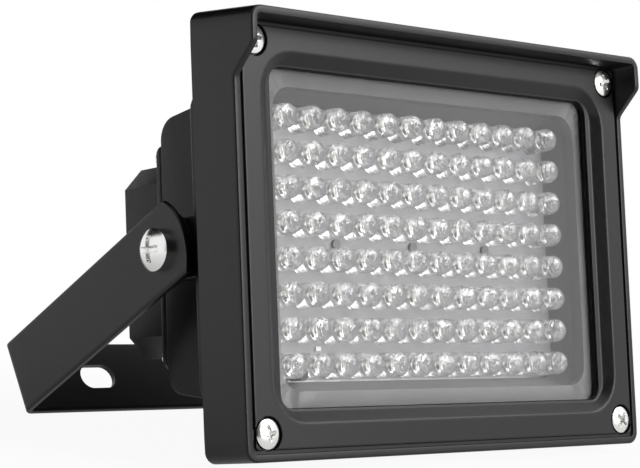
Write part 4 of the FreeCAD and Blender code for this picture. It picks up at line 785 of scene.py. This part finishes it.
# The slope runs down to the lip, whose rounded nose holds the seal and the pane from the front.
slope = [(75.7, -53.5, 53.5, 12.6, 0, 0.06), (75.35, -53.15, 53.15, 12.3, 0, 0.26),
         (75.0, -52.85, 52.85, 11.95, 0, 0.5), (72.6, -50.5, 50.5, 7.4, 0, 2.12),
         (72.3, -50.25, 50.25, 7.0, 0, 2.33), (72.0, -50.0, 50.0, 6.6, 0, 2.48)]
lip = [(71.6, -49.85, 49.85, 6.1, 0, 2.55), (70.6, -49.7, 49.7, 4.9, 0, 2.55),
       (70.25, -49.52, 49.52, 4.6, 0, 2.62), (70.1, -49.4, 49.4, 4.4, 0, 2.8),
       (70.1, -49.4, 49.4, 4.4, 0, 3.6)]
# Behind the lip the seat takes the pane and the well, and the skirt takes the housing's plate.
seat = [(74.0, -53.3, 53.3, 10.9, 0, 3.6), (74.0, -53.3, 53.3, 10.9, 0, 15.0),
        (82.2, -60.4, 60.4, 3.0, 0, 15.0), (82.2, -60.4, 60.4, 3.0, 0, 18.7)]
rails = [*skirt, *rim_edge, *rim_inside, *groove, *face, *slope, *lip, *seat]

# Points up the sides lie closest together round the two knees.
knee_heights = [44.2, 44.7, 45.2, 45.7, 46.2, 47.5, 49.3, 51.0, 52.5, 53.0, 53.5, 54.0, 54.5]
side_heights = np.concatenate([np.linspace(-57, 43, 15), knee_heights, [56, 57]])
lines = []
for half, low, high, corner, follows, depth in rails:
    flat = corner_line(half, low, high, corner, np.linspace(-1, 1, 25), side_heights)
    deep = depth + follows * rim_front(flat[:, 1])
    lines.append(np.stack([flat[:, 0], deep, flat[:, 1]], -1))
bezel = surface("hooded_bezel", head_place(np.array(lines)), powder_coat, "head", across=True)

# Each counterbore has an eased mouth and a clear hole for the screw.
screw_side, screw_rise, sink_floor = 77.7, 56.2, 2.2
sink_profile = [[0, -3.0], [5.35, -3.0], [5.35, -0.1], [5.05, 0.12], [5.0, 0.3], [5.0, sink_floor],
                [2.15, sink_floor], [2.15, 20.0], [0, 20.0]]
punched(bezel, at_corners("sink", sink_profile, screw_side, screw_rise, 48))
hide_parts("front_bezel")


# Bezel screws: four M4 pan-head screws with a cross recess, of stainless steel, in counterbores at the
# corners. They pass the bezel and are driven into the housing's plate, each stopped at its own turn.
def crossed_head(radius, base, top, arm, width, depth, shank, length, steps=96):
    """A turned screw with a cross in its head. The head falls from top in the middle to base at the rim with
    the share of the radius to the power 2.6. The recess is depth times the deeper of two crossed bars."""
    # The rings lie close together out to just past the cross.
    inner = arm * 1.08
    reach = np.concatenate([np.linspace(0, inner, 30), np.linspace(inner, radius, 12)[1:]])
    angle = np.linspace(0, 2 * math.pi, steps, endpoint=False)
    ring = reach[:, None] + 0 * angle
    x, z = ring * np.cos(angle), ring * np.sin(angle)
    half_width, wall_run, arm_run = width / 2 + 0.1, 0.12, arm * 0.55

    def bar(beside, along):
        """One bar of the cross: full within its width, with sloping walls, and running out along its arm."""
        wall = np.clip((half_width - np.abs(beside)) / wall_run, 0, 1)
        return wall * np.clip((arm - np.abs(along)) / arm_run, 0, 1)

    dome = top - (top - base) * np.clip(ring / radius, 0, 1) ** 2.6
    height = dome - depth * np.maximum(bar(x, z), bar(z, x))
    point = 0.6
    tail = [[radius, 0.0], [shank, 0.0], [shank, point - length], [shank - point, -length], [0, -length]]
    return np.concatenate([np.stack([x, height, z], -1), turned(tail, steps)])


screw = crossed_head(radius=4.25, base=1.9, top=2.8, arm=2.7, width=1.1, depth=1.8, shank=2.0, length=16.2)
screw = screw * [1, -1, 1] + [0, sink_floor, 0]
spots = np.array([[side * screw_side, 0, up * screw_rise] for side in (1, -1) for up in (1, -1)])
last_turn = np.radians([20, -35, 10, 8])
cosine, sine = np.cos(last_turn)[:, None, None], np.sin(last_turn)[:, None, None]
screws = np.stack([screw[..., 0] * cosine - screw[..., 2] * sine, screw[..., 1] + 0 * cosine,
                   screw[..., 0] * sine + screw[..., 2] * cosine], -1) + spots[:, None, None]
bezel_screws = surface("bezel_pan_screws", head_place(screws), steel, "head", sharp=28)
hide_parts("bezel_screws")


# Pivot bolts: two polished M6 bolts of stainless steel with low round heads and a cross recess.
# They go through the arms and washers into the housing's bosses, and the bracket turns about them.
bolt = crossed_head(radius=6.5, base=2.2, top=4.4, arm=4.0, width=1.6, depth=2.2, shank=2.98, length=14.5)
arm_outside = arm_middle + sheet_thick / 2
bolt = np.stack([bolt[..., 1], bolt[..., 0], bolt[..., 2]], -1) + [arm_outside, pivot_depth, 0]
bolts = np.array([bolt, bolt * [-1, 1, 1]])
pivot_bolts = surface("pivot_bolts_polished", head_place(bolts), steel, "head", sharp=28)
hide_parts("pivot_bolts")
